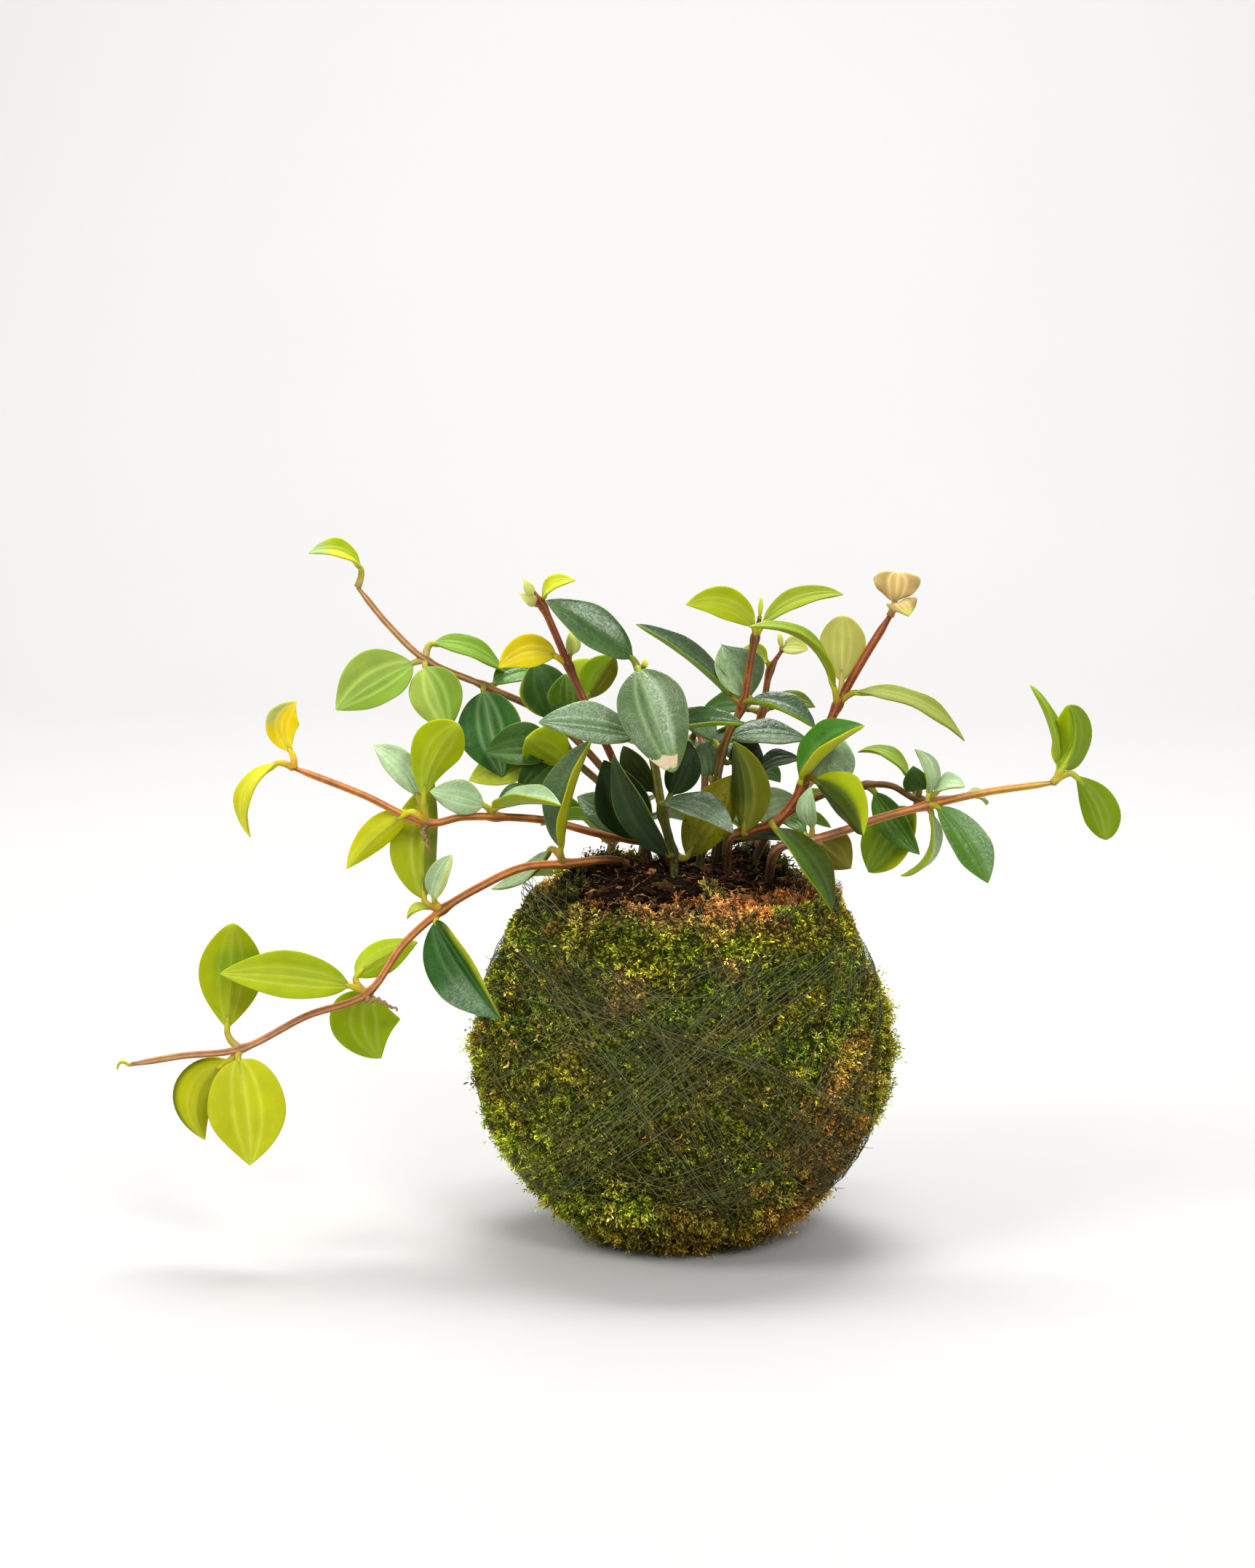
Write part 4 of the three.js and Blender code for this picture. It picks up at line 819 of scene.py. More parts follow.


# A sheen patch is a painted highlight: pale speckles that the leaf material mixes into the colour where light
# would shine on the leaf.
SPRAYS = [
    spray("spray_trailing_left", (-15, 3), (1.5, 1.05), "tan copper copper copper pink tan", [
        (-19, 52.2, 1), (-33, 51.2, -4), (-45, 50, -9), (-56, 45, -13), (-67, 38.3, -18), (-78, 28.5, -22),
        (-88.3, 14.5, -26), (-105, 8.3, -28), (-123.5, -1, -30), (-140, -3, -31), (-154, -5.4, -32),
    ], [
        leaf(1, (-34, 56, -8), (-25.5, 86, -11), 18, (-0.9, -0.4, 0.1), "grey",
             patch("lime", "right", 0.2, 0.95), fold=36),
        leaf(1, (-37.5, 54.5, 1), (-53.5, 44, 2), 10, (-0.5, -0.35, 0.8), "slate", bow=-3),
        leaf(4, (-72.5, 41.5, -19), (-69.8, 75, -5), 17.5, (-0.5, 0.85, 0), "golden",
             patch("moor", "right", 0.2, 0.5, low=0.2, high=0.6), fold=32, sway=1.2),
        leaf(4, (-69.5, 41.5, -19), (-64.5, 53.8, -19), 8, (-0.3, -0.9, 0.2), "slate",
             patch("pale", "right", 0.2, 0.6), fold=35),
        leaf(4, (-71, 38.8, -17), (-77, 35.5, -15), 4, (0, -0.5, 0.8), "light"),
        leaf(4, (-69, 34.5, -20), (-50.5, 7.5, -38), 18, (-0.6, -0.8, 0.1), "grass",
             patch("sheen", "left", 0, 0.32, low=0.55, high=0.93),
             patch("lime", "right", 0.74, 0.65, low=0.2, high=0.97), fold=30, bow=2.5),
        leaf(6, (-91, 19.5, -24), (-74, 29, -16), 10, (-0.2, 0.8, -0.5), "fresh", fold=15, sway=1.8),
        leaf(6, (-93.5, 16.8, -28), (-129.5, 20, -34), 14, (0, -0.85, 0.5), "apple", fold=14, bow=3),
        leaf(6, (-87.3, 14.5, -23), (-84, -3.5, -20), 20, (0.1, 1, 0.1), "fresh", fold=10, sway=-3.5),
        # Painted shadow: the darker green patch on this leaf's right, along its middle, stands for the shadow
        # of the leaf in front, seen through it.
        leaf(8, (-127.3, 4.5, -29), (-126, 34.3, -26), 18, (-0.1, 0.9, -0.2), "apple",
             patch("green", "right", -0.5, 0.9, low=0.45, high=0.75), fold=14, belly=0.52, ends=(0.95, 0.72)),
        leaf(8, (-124, -4, -31), (-120.5, -33.5, -34), 21.5, (0.1, -1, 0.2), "lime", fold=12, sway=-1,
             ends=(0.42, 0.95)),
        leaf(8, (-127, -4.5, -29), (-133, -26.5, -27), 13, (-0.3, 0.9, 0), "lime",
             patch("moor", "left", 0.85, 0.9, low=0.1), sway=-5.5),
        leaf(10, (-154.6, -5.6, -32), (-158, -7, -32), 1.8, (0, 0, 1), "bud"),
    ]),
    spray("spray_middle_left", (-5, 7), (1.45, 1.15), "dark red copper copper copper", [
        (-8, 56.5, 7.5), (-15, 58, 7), (-25, 60, 5), (-38, 63.3, 1), (-52.5, 64.3, -6), (-62, 64.2, -11),
        (-72, 62.5, -16), (-90, 70.5, -18), (-109.5, 78, -20),
    ], [
        leaf(4, (-53, 66.8, -8), (-34, 67.5, -20), 12, (0, -0.25, 1), "slate",
             patch("apple", "down", 0.35, 0.9), fold=36),
        leaf(4, (-56, 67.7, -8), (-71, 71.5, -12), 10, (0, -0.9, 0.4), "slate", fold=10),
        leaf(4, (-51.5, 67.5, -3), (-41, 71, 2), 8, (0, -0.7, 0.6), "dark"),
        leaf(6, (-72.7, 67.8, -17), (-62.8, 90.5, -20), 14.5, (-0.2, 0.95, 0.1), "fresh",
             all_over("apple", 0.7, low=0.4), belly=0.68, ends=(1.45, 0.62), fold=12, sway=2.6, quilt=0.06),
        leaf(6, (-74.5, 70.5, -13), (-87, 84.5, -7), 9, (-0.2, -0.6, 0.7), "slate", sway=1.2),
        leaf(6, (-77, 65.5, -18.5), (-94.3, 49.5, -17), 9, (0.3, 0.8, 0.4), "lime", bow=3, sway=-1),
        leaf(8, (-110.5, 83, -20), (-109, 97, -22), 10, (0.3, -0.9, 0), "yellow",
             patch("slate", "up", 0.3, 0.6, low=0.5), bow=-2, belly=0.58, sway=-3),
        leaf(8, (-115, 79, -20), (-121.5, 58.5, -22), 9, (-0.75, -0.6, 0.2), "lime", bow=5),
    ]),
    spray("spray_upper_left", (-9, 19), (1.45, 1), "dark brown brown brown tan tan", [
        (-14, 66, 19), (-24, 80, 21), (-38, 93, 22), (-55.5, 101.3, 22), (-72.5, 108.8, 20), (-83.2, 118.8, 20),
        (-92, 129.5, 20),
    ], [
        leaf(3, (-56, 99.5, 19), (-50.5, 75.5, 13), 19.5, (-0.1, -1, 0.2), "veined", ends=(0.6, 0.95)),
        leaf(3, (-53, 102, 25), (-42, 105, 33), 10, (0, -0.6, 0.7), "green"),
        leaf(4, (-76.5, 107.7, 19), (-97.8, 94.5, 12), 19, (-0.1, -0.85, 0.5), "spring",
             patch("leafy", "down", -0.1, 0.6)),
        leaf(4, (-72.5, 106.5, 18), (-66, 88.5, 12), 16, (0.1, -1, 0.3), "spring",
             patch("leafy", "right", -0.05, 0.6)),
        leaf(4, (-70, 113.5, 22), (-50, 105, 28), 12, (0.2, -0.45, 0.9), "fresh", all_over("leafy", 0.7),
             fold=12, bow=2.5),
        leaf(6, (-91.5, 135.5, 20), (-106, 139.2, 14), 9, (0, -0.6, 0.8), "apple",
             all_over("slate", 0.8, low=0.75), patch("yellow", "down", 0, 0.6, low=0.1, high=0.7), bow=3),
    ]),
    spray("spray_inner_left", (-9, 12), (1.4, 1.1), "dark brown olive", [
        (-13, 62, 12), (-22, 73, 12), (-32, 83, 12), (-33, 94, 17), (-31, 98.5, 20),
    ], [
        leaf(2, (-36, 84, 12), (-55.5, 82.5, 8), 14.5, (0, -0.8, 0.5), "shade"),
        leaf(2, (-35, 81, 10), (-46, 71, 4), 12, (0, -0.9, 0.2), "shade"),
        leaf(2, (-32.5, 79.5, 6.5), (-44, 86.5, 1), 14.5, (0.2, 0.9, -0.1), "fresh"),
        leaf(2, (-36, 82.5, 15), (-60, 74.5, 18), 13, (0, -0.8, 0.4), "olive",
             all_over("light", 0.9, low=0.45)),
        leaf(3, (-36, 92.5, 18), (-41.5, 108, 22.5), 14.9, (0, -1, 0.1), "shade",
             patch("lime", "left", 0.95, 0.8, low=0.1)),
        leaf(3, (-32.5, 96, 14), (-33, 105, 10), 11, (0, -1, 0.1), "leafy"),
        leaf(4, (-30, 98.5, 23), (-23, 107.5, 30), 14, (0, -0.9, 0.3), "light"),
        leaf(4, (-27, 98, 18), (-19, 110, 15), 11, (-0.3, 0.9, 0), "leafy", patch("olive", "right", 0, 0.9)),
    ]),
    spray("spray_red_left", (-10, 2), (1.4, 1.15), "dark red red rust", [
        (-11, 62, 1), (-16, 73, 1), (-22, 86, 1), (-28, 98, 1), (-32, 107, 1), (-36, 116.5, 1),
        (-39.6, 124.3, 1), (-43, 129.3, 1),
    ], [
        leaf(0, (-12.5, 58.5, -4), (-22, 80.5, -8), 16.5, (-0.2, -0.95, 0.1), "shade_black", sway=0.8),
        leaf(0, (-15, 60.5, 4), (-29.5, 70, 5), 12, (-0.1, -0.8, 0.6), "silver"),
        leaf(4, (-36, 110, 0), (-51.8, 106.5, -4), 10, (0, -1, 0.2), "yellow", sway=2.5),
        leaf(4, (-31.6, 110.5, 2.5), (-32, 117.3, 4), 5.4, (0.4, -1, 0), "pale", belly=0.35, ends=(0.7, 1.5),
             fold=34),
        leaf(6, (-41.5, 124.6, 1), (-47, 128.2, -1), 3.6, (0, -1, 0.3), "pale", belly=0.34, ends=(0.8, 1.9)),
        leaf(6, (-39.3, 126.5, 1), (-30.2, 131.5, -3), 6, (0, -0.7, 0.7), "lime", bow=2.5),
        leaf(7, (-42.6, 127.2, -1), (-45.4, 132.6, -1), 3.2, (0.2, -1, 0), "pale", belly=0.34, ends=(0.8, 1.9)),
    ]),
    spray("spray_front_centre", (-2, -9), (1.6, 1.25), "moss olive olive olive", [
        (-2.5, 54, -9), (-5.3, 65, -10), (-7.5, 78, -10), (-9.5, 88, -9), (-11.3, 98, -9), (-12.5, 106.3, -9),
    ], [
        leaf(0, (-4, 54, -12), (-19.3, 82, -20), 12.5, (-0.6, -0.75, 0.3), "shade_black", all_over("steel", 0.35),
             fold=32),
        leaf(0, (1.8, 53.5, -8), (15, 76.5, -6), 14, (0, 1, 0), "olive", specks=1),
        leaf(1, (-5.2, 68.3, -13.5), (14.5, 59.8, -25), 13.5, (0.1, -0.4, 0.9), "steel",
             all_over("sheen", 0.35, low=0.75), fold=12, bow=3, rim=0.4),
        leaf(1, (-8, 72, -7), (-16.5, 84.5, -4), 9, (-0.5, -0.8, 0.2), "moor"),
        leaf(1, (-3, 71, -8), (2, 86, -6), 11, (0.3, -0.9, 0), "shade_black"),
        leaf(3, (-13.5, 87.3, -11), (-40.5, 91, -19), 14.9, (0, -0.7, 0.7), "grey",
             patch("sheen", "up", 0.15, 0.38, low=0.15, high=0.9), fold=14),
        leaf(3, (-5.5, 88, -9), (17.5, 90.5, -13), 12, (0, -0.35, 0.95), "dark",
             patch("leafy", "down", 0.2, 0.9), fold=28),
        leaf(5, (-14.4, 109.6, -9), (-38.6, 125.8, -13), 12.8, (0.25, -0.85, 0.5), "dark",
             patch("sheen", "right", 0.15, 0.6, low=0.2, high=0.8), patch("sheen", "right", 0.75, -0.5),
             patch("grey", "left", 0.6, 0.6), fold=14),
        leaf(5, (-12.2, 105.8, -12), (-2.2, 76.8, -23), 19.2, (0, -1, 0.25), "banded",
             patch("sheen", "right", 0.08, 0.62, low=0.08, high=0.78), patch("sheen", "right", 0.45, -0.55),
             patch("grey", "left", 0.55, 0.7, high=0.8), fold=12, bow=3, belly=0.4, harm=1, ends=(0.6, 0.72)),
        leaf(5, (-10.9, 106.9, -9), (-10.2, 109, -9), 2, (0, -1, 0), "bud"),
    ]),
    spray("spray_centre_right", (5, 0), (1.5, 1.15), "moss olive bronze rust bronze", [
        (6.5, 60, 0), (9.5, 73, 0), (11.3, 83, 0), (13.5, 89, 0), (17, 96, 0), (19, 107, -1), (20.5, 115, -1),
        (21.8, 120.5, -1),
    ], [
        leaf(1, (8, 76, 2), (6.5, 86, 5), 9, (-0.2, -1, 0), "grey"),
        leaf(2, (14, 86.5, 1), (35.5, 86, 5), 13, (0, -0.45, 0.9), "dark",
             all_over("sheen", 0.1, low=0.1, high=0.95), fold=12),
        leaf(2, (9, 86, 3), (-1, 94.5, 9), 9, (0, -0.6, 0.8), "grey"),
        leaf(2, (13.5, 80, 4), (22, 84, 9), 12, (0, -1, 0), "shade_black"),
        leaf(4, (14, 98.5, 0), (-13, 119, -4), 11.5, (0.35, -0.35, 0.85), "steel",
             patch("green", "down", 0, 0.9), fold=26),
        leaf(4, (19, 98.5, 4), (11, 113.5, 10), 17.5, (-0.25, -1, 0.3), "silver",
             patch("slate", "left", -0.1, 0.8), folds=(60, 12), fold=10, belly=0.4, ends=(0.68, 1.35)),
        leaf(4, (19.5, 97.3, -2), (37.5, 89.6, -8), 12, (0.25, -0.35, 0.9), "steel",
             patch("vivid", "down", 0, 0.95), fold=26),
        leaf(6, (20, 118.7, -2), (1, 124.5, -6), 10, (0, -0.9, 0.4), "apple", sway=2.8),
        leaf(6, (23.3, 119.5, -1), (45.5, 127.5, 0), 9.5, (0, -0.5, 0.85), "apple", all_over("golden", 0.45),
             all_over("earth", 0.3), sway=-2),
        leaf(7, (21.9, 121.2, -1), (22.3, 127, -1), 1.5, (0, -1, 0), "apple", ends=(0.6, 0.7)),
    ]),
    spray("spray_upper_right", (12.5, -1), (1.6, 1.3), "dark brown rust rust rust", [
        (14, 59, -7), (18.5, 60.6, -8), (26, 62.8, -10), (31, 68, -11), (34, 73.5, -11), (38.5, 84, -9),
        (43.8, 96, -7), (51, 109, -6), (58.7, 121.5, -6),
    ], [
        leaf(1, (17.4, 60.3, -11), (14.6, 85.8, -13), 13, (0.5, 0.8, 0), "olive", all_over("moor", 0.5),
             patch("moor", "left", -0.25, 0.9, low=0.3), sway=-1.6),
        leaf(2, (26.5, 61, -17), (42, 38, -30), 14, (0.6, -0.6, 0.5), "shade", patch("leafy", "left", 0, 0.5),
             patch("moor", "right", 0.15, 0.95), fold=28, rim=0.6),
        leaf(4, (33.6, 75, -13), (51.4, 90.3, -17), 18.5, (-0.5, -0.3, 0.8), "vivid",
             patch("lime", "down", 0.35, 0.95, low=0.1), fold=34),
        leaf(4, (37.5, 75, -16), (51, 59.5, -29), 17, (0.3, 0.8, 0.5), "moor", patch("apple", "right", 0.5, 1),
             fold=24),
        leaf(4, (37, 75, -6), (45, 87, -1), 16, (0, -1, 0), "grey", all_over("slate", 0.55, low=0.1)),
        leaf(6, (42.8, 101.5, -9), (18.8, 118.3, -16), 10, (0.3, -0.2, 0.9), "fresh", all_over("earth", 0.25),
             bow=6),
        leaf(6, (45, 102.5, -5), (45.2, 121.7, -1), 13.2, (0.1, 1, 0), "pale", belly=0.6, fold=14,
             ends=(0.95, 0.6)),
        leaf(6, (49.7, 99.8, -8), (79.5, 86, -12), 10, (0.2, -0.4, 0.9), "fresh", all_over("pale", 0.3),
             all_over("earth", 0.4), bow=4.2, fold=14, rim=0.6, ripple=2),
        leaf(8, (60, 125.5, -6), (60.7, 133.8, -6), 13, (0, -1, 0.1), "cream", belly=0.72, fold=10,
             ends=(1, 0.45), quilt=0.7, ripple=3),
        leaf(8, (60.5, 124.5, -8), (64, 121.3, -14), 9, (0, -0.6, 0.8), "cream", all_over("earth", 0.45),
             all_over("light", 0.5, low=0.8), fold=14, ripple=2),
    ]),
    spray("spray_low_right", (24, -6), (1.7, 1.15), "dark brown pink pink copper gold", [
        (27, 55.5, -12), (36, 57.8, -12), (46, 60.8, -13), (56, 64.3, -15), (69, 67.8, -19), (85, 71.5, -20),
        (104.3, 74.3, -21),
    ], [
        leaf(1, (38.5, 57.5, -12), (47.5, 50, -8), 13, (0, 1, 0.1), "earth"),
        leaf(1, (34.5, 60, -12), (29, 62.5, -3), 6, (0, -0.6, 0.8), "green"),
        leaf(1, (36.5, 62, -14), (36.3, 73, -19), 7, (-0.5, -0.8, 0), "slate"),
        leaf(4, (69.5, 71.5, -19), (65.5, 83.7, -17), 8, (0.7, -0.6, 0.2), "slate", fold=28),
        leaf(4, (71, 71.3, -19), (79.5, 73, -23), 9, (0, -0.5, 0.9), "slate"),
        leaf(4, (72, 67.3, -21), (85.8, 46, -26), 11, (0.2, -1, 0.3), "green",
             patch("sheen", "right", 0.25, 0.28, low=0.15, high=0.9), belly=0.58, fold=14, sway=-1.2),
        leaf(4, (70.3, 65, -18), (61.5, 48, -13), 9, (0.8, -0.3, -0.2), "slate", bow=4),
        leaf(6, (107, 78.5, -21), (108.7, 96.2, -22), 17, (-0.4, 0.9, 0), "leafy", all_over("dark", 0.6),
             belly=0.4, folds=(24, 80), fold=28, sway=-3.5),
        leaf(6, (106, 80, -17), (98, 102, -13), 9, (0.9, -0.25, 0.35), "fresh"),
        leaf(6, (110.5, 76.3, -21), (119, 58.2, -23), 11, (0.2, 0.95, 0.1), "leafy", all_over("dark", 0.5),
             belly=0.62, sway=1.6, ends=(0.95, 0.6)),
    ]),
    spray("spray_back_right", (20, 7), (1.5, 0.9), "dark brown brown brown", [
        (26, 62, 9), (38, 70, 8), (52, 73.5, 4), (59, 73.3, 0), (66, 69.8, -5), (79, 70.2, -8),
    ], [
        leaf(2, (54.5, 71, 2), (66.8, 54, -9), 9.5, (-0.5, -0.8, 0.2), "green"),
        leaf(4, (65.3, 67, -3), (52.5, 49, 5), 16, (-0.3, -0.9, 0.3), "fresh",
             patch("lime", "down", 0.75, 0.8)),
        leaf(4, (63.5, 76.5, -2), (49.5, 82.8, 6), 7, (0.2, -0.4, 0.9), "fresh", all_over("olive", 0.5), bow=3),
        leaf(4, (66.8, 72.5, -6), (65, 79, -9), 8, (-0.2, -1, 0.1), "shade"),
        leaf(5, (80, 70.5, -8), (85.5, 68, -4), 5.5, (0, -0.5, 0.8), "slate"),
    ]),
    spray("spray_back_centre", (9, 17), (1.4, 1), "dark brown rust", [
        (12, 66, 20), (18, 82, 24), (22.5, 94, 26), (24.8, 106, 27), (28, 111.5, 27),
    ], [
        leaf(2, (25, 95.5, 26), (37.5, 95.5, 24), 9, (0, -0.5, 0.85), "olive"),
        leaf(2, (19, 95, 27), (5, 93, 33), 12, (0, -0.5, 0.85), "shade"),
        leaf(3, (23.8, 108.7, 26), (16, 111.5, 22), 6.5, (0, -0.8, 0.5), "light"),
        leaf(4, (28.7, 112.2, 27), (35.5, 111.8, 25), 6.5, (0, -0.8, 0.5), "pale"),
        leaf(4, (28, 112.6, 27), (27.3, 117, 27), 1.8, (0, -1, 0), "pale", ends=(0.6, 0.8)),
    ]),
    spray("spray_inner_right", (9.5, 7.5), (1.4, 1.1), "dark olive", [
        (12, 60.5, 6.5), (16.5, 69, 8), (20, 76, 9),
    ], [
        leaf(0, (13.5, 57.3, 3), (31.5, 57.8, -4), 10, (0, -0.35, 0.95), "shade_black"),
        leaf(1, (21, 65.5, 5), (33, 69.5, 0), 11, (-0.1, -0.9, 0.3), "slate"),
        leaf(2, (22, 77.5, 10), (33.5, 80.5, 14), 9, (0, -0.4, 0.9), "shade_black"),
        leaf(2, (21.5, 75, 6), (27.7, 74.3, -2), 8, (0, -0.5, 0.9), "shade"),
        leaf(2, (19.5, 79, 12), (14, 88, 19), 10, (-0.2, -0.8, 0.5), "grey"),
    ]),
]

# The far side, by the rule and the seeded draw of the part's source
FAR_SPRAYS = [  # name, root, heading, reach, rise, droop, seed
    ("spray_far_left", (-12, 27), 106, 44, 10, 48, 11),
    ("spray_far_middle", (2, 29), 86, 30, 34, 4, 23),
    ("spray_far_right", (16, 24), 72, 46, 10, 48, 37),
]
FAR_LOOKS = ["dark", "green", "grey", "green", "fresh", "green", "light", "fresh"]


def draws(state):
    while True:
        state = math.fmod(state * 1103515245.0 + 12345.0, 2147483648.0)
        yield state / 2147483648.0


def far_spray(name, root, heading, reach, rise, droop, seed):
    draw = draws(float(seed))
    turn = math.radians(heading)
    way = np.array([math.cos(turn), math.sin(turn), 0.0])
    across = np.array([-way[1], way[0], 0.0])
    foot = np.array([root[0], root[1], float(soil_top(*root)) + 5])
    stem = []
    for i in range(1, 6):
        share = i / 5
        point = foot + way * (reach * share) + across * (4 * math.sin(share * 3 + seed))
        point[2] += rise * math.sin(share * math.pi * 0.8) - droop * share**3
        stem.append(point)
    face = (way[0] * 0.35, way[1] * 0.35, 0.9)
    leaves = []
    for i in range(1, 5):
        for hand in (-1, 1):
            length = 25 - 2 * i + 4 * next(draw)
            spread = way * (0.5 + 0.4 * next(draw))
            spread[2] = (0.15 if i % 2 else 0.75) - 0.25 * next(draw)
            spread = unit(spread + across * hand * (0.8 + 0.2 * next(draw)))
            base = stem[i] + spread * 4
            look = FAR_LOOKS[2 * (i - 1) + (hand > 0)]
            leaves.append(leaf(i, base, base + spread * length, length * 0.56, face, look, fold=16, bow=2.5))
    return spray(name, root, (1.4, 1.0), "brown brown red rust", stem, leaves)


def blade_share(t, belly, ends):
    """Half width of a blade along its rib: widest at belly, rounder at an end the lower its number."""
    away = np.where(t < belly, (belly - t) / belly, (t - belly) / (1 - belly))
    return np.maximum(np.cos(math.pi / 2 * away), 0.0) ** np.where(t < belly, ends[0], ends[1])


VEINS = (0.36, 0.69)  # the side veins' places between the rib and the rim
COLUMNS = np.array([0, 0.06, 0.18, 0.28, 0.36, 0.44, 0.56, 0.69, 0.80, 0.91, 0.975, 1.0])
COLUMNS = np.concatenate([-COLUMNS[:0:-1], COLUMNS])
FROM_RIB = np.abs(COLUMNS)


def ridge(off, width):
    return np.exp(-((off / width) ** 2))


def blade_rows(width):
    even = np.linspace(0, 1, 12 if width < 7 else 20 if width < 12 else 28)
    return even - 0.055 * np.sin(TURN * even)


def shell_faces(rows, columns):
    """Faces of a blade: its upper side first, then its underside and its four edges."""
    size = rows * columns
    step = np.arange(rows - 1) * columns
    left = np.stack([step, step + columns, step + columns + size, step + size], axis=1)
    right = np.stack([step, step + size, step + columns + size, step + columns], axis=1) + columns - 1
    row = np.arange(columns - 1)
    first = np.stack([row, row + size, row + 1 + size, row + 1], axis=1)
    last = np.stack([row, row + 1, row + 1 + size, row + size], axis=1) + size - columns
    sides = [grid_faces(rows, columns), grid_faces(rows, columns, size, flip=True)]
    return np.concatenate([*sides, left, right, first, last])


def blade_heights(spec, rng, t, half, span):
    """How high the upper side and the underside lie over the fold at each row and column of a blade."""
    u, wide = COLUMNS, half[:, None]
    width, strength = spec["width"], min(1.0, LOOKS[spec["look"]][2])
    vein = ridge(u, 0.07) + 0.75 * ridge(FROM_RIB - VEINS[0], 0.06)
    vein = vein + 0.15 * ridge(FROM_RIB - VEINS[1], 0.06)
    fade = (np.sin(math.pi * np.clip(t, 0, 1)) ** 0.5)[:, None]
    t = t[:, None]
    calm = fade * min(1.0, width / 16)
    panel = np.sin(math.pi * np.interp(FROM_RIB, [0, VEINS[0], 1], [0, 1, 2]))
    quilt = spec["quilt"] * np.abs(panel) * (1 - 0.4 * FROM_RIB)
    seed = int(rng.integers(1, 9999))
    spot = np.stack(np.broadcast_arrays(u * width * 0.5 / 2.6, t * span / 3.0, 0.5), axis=-1)
    pucker = (noise(spot, 1.0, seed) - 0.5) * (1 - np.minimum(vein, 1))
    wave = spec["ripple"] * 0.5 * FROM_RIB**3 * np.sin(TURN * (t * 2.1 + rng.uniform() + (u > 0) * 0.4))
    top = calm * (0.45 * pucker + quilt - (0.03 + 0.17 * strength) * vein + 0.6 * wave)
    under = calm * wave * 0.6 + calm * (0.30 * pucker)
    thin = np.where(FROM_RIB > 0.99, 0.06, np.where(FROM_RIB > 0.97, 0.22, 0.26 + 0.24 * (1 - FROM_RIB**2)))
    thick = thin * np.minimum(1.0, 0.35 + wide / 3.0)
    keel = 0.55 * ridge(wide * u, 0.8) * (1 - t) * np.minimum(1, wide / 4)
    keel = keel + 0.10 * ridge(FROM_RIB - VEINS[0], 0.05) * fade
    return top + thick, under - thick - keel


def add_leaf(pile, spec, joint, rng, stem_tone):
    """A thick blade with its ribs pressed in above and raised below, and the petiole that carries it."""
    base, tip = seen(spec["base"]), seen(spec["tip"])
    chord = tip - base
    span = np.linalg.norm(chord)
    up = square_to(np.array(spec["face"], float), unit(chord))
    side = np.cross(unit(chord), up)
    t = blade_rows(spec["width"])
    along = t[:, None]
    lift = up * spec["bow"] + side * spec["sway"]
    rib = base + chord * along + lift * 4 * along * (1 - along)
    heading = unit(chord + lift * 4 * (1 - 2 * along))
    ups = square_to(up[None], heading)
    sides = np.cross(heading, ups)
    half = spec["width"] / 2 * blade_share(t, spec["belly"], spec["ends"])
    half = np.maximum(np.maximum(half, 0.8 * (1 - smooth_step(t, 0.0, 0.12))), 0.04)
    folds = spec.get("folds", (spec["fold"], spec["fold"]))
    fold = np.radians(np.where(COLUMNS < 0, folds[0], folds[1]))
    crease = 0.10 if spec["fold"] > 26 else 0.30
    rise = np.sqrt(COLUMNS * COLUMNS + crease * crease) - crease
    wide = half[:, None]
    out = sides[:, None] * (wide * COLUMNS * np.cos(fold))[..., None]
    bent = wide * (rise / rise[-1]) * np.sin(fold)
    points = [
        (rib[:, None] + out + ups[:, None] * (bent + height)[..., None]).reshape(-1, 3)
        for height in blade_heights(spec, rng, t, half, span)
    ]
    rows, columns = len(t), len(COLUMNS)
    size = rows * columns
    blade = np.stack(np.broadcast_arrays(COLUMNS, along, wide), axis=-1).reshape(-1, 3)
    upper_tone, under_tone, strength, finish = LOOKS[spec["look"]]
    jitter = rng.uniform(0.92, 1.08)
    hue = [rng.uniform(0.95, 1.05), 1, 1]
    under_tone = np.array(under_tone) * jitter * hue
    tones = np.ones((rows, columns, 1)) * np.array([*(np.array(upper_tone) * jitter * hue), 1.0])
    unders = np.ones((rows, columns, 1)) * np.array([*under_tone, 1.0])
    shine = np.zeros((rows, columns))
    for row in spec["patches"]:
        lay_patch(tones, unders, shine, sides.mean(axis=0), t, *row)
    faces = shell_faces(rows, columns)
    kinds = np.full(len(faces), FINISHES.index("soft"))
    kinds[: (rows - 1) * (columns - 1)] = FINISHES.index(finish)
    pile.add(
        np.concatenate(points), faces, kind=kinds, blade=np.concatenate([blade, blade]),
        side=np.repeat([1.0, 0.0], size), tone=np.concatenate([tones.reshape(-1, 4)] * 2),
        under=np.concatenate([unders.reshape(-1, 4)] * 2),
        marks=[spec["specks"], spec["rim"], spec["harm"], strength],
        shine=np.concatenate([shine.clip(0, 1).ravel(), np.zeros(size)]),
    )
    add_petiole(pile, joint, base, rib, ups, heading, t, under_tone, spec["width"], stem_tone)


WAYS = {"right": (1, 0, 0), "left": (-1, 0, 0), "up": (0, 0.21, 0.98), "down": (0, -0.21, -0.98)}


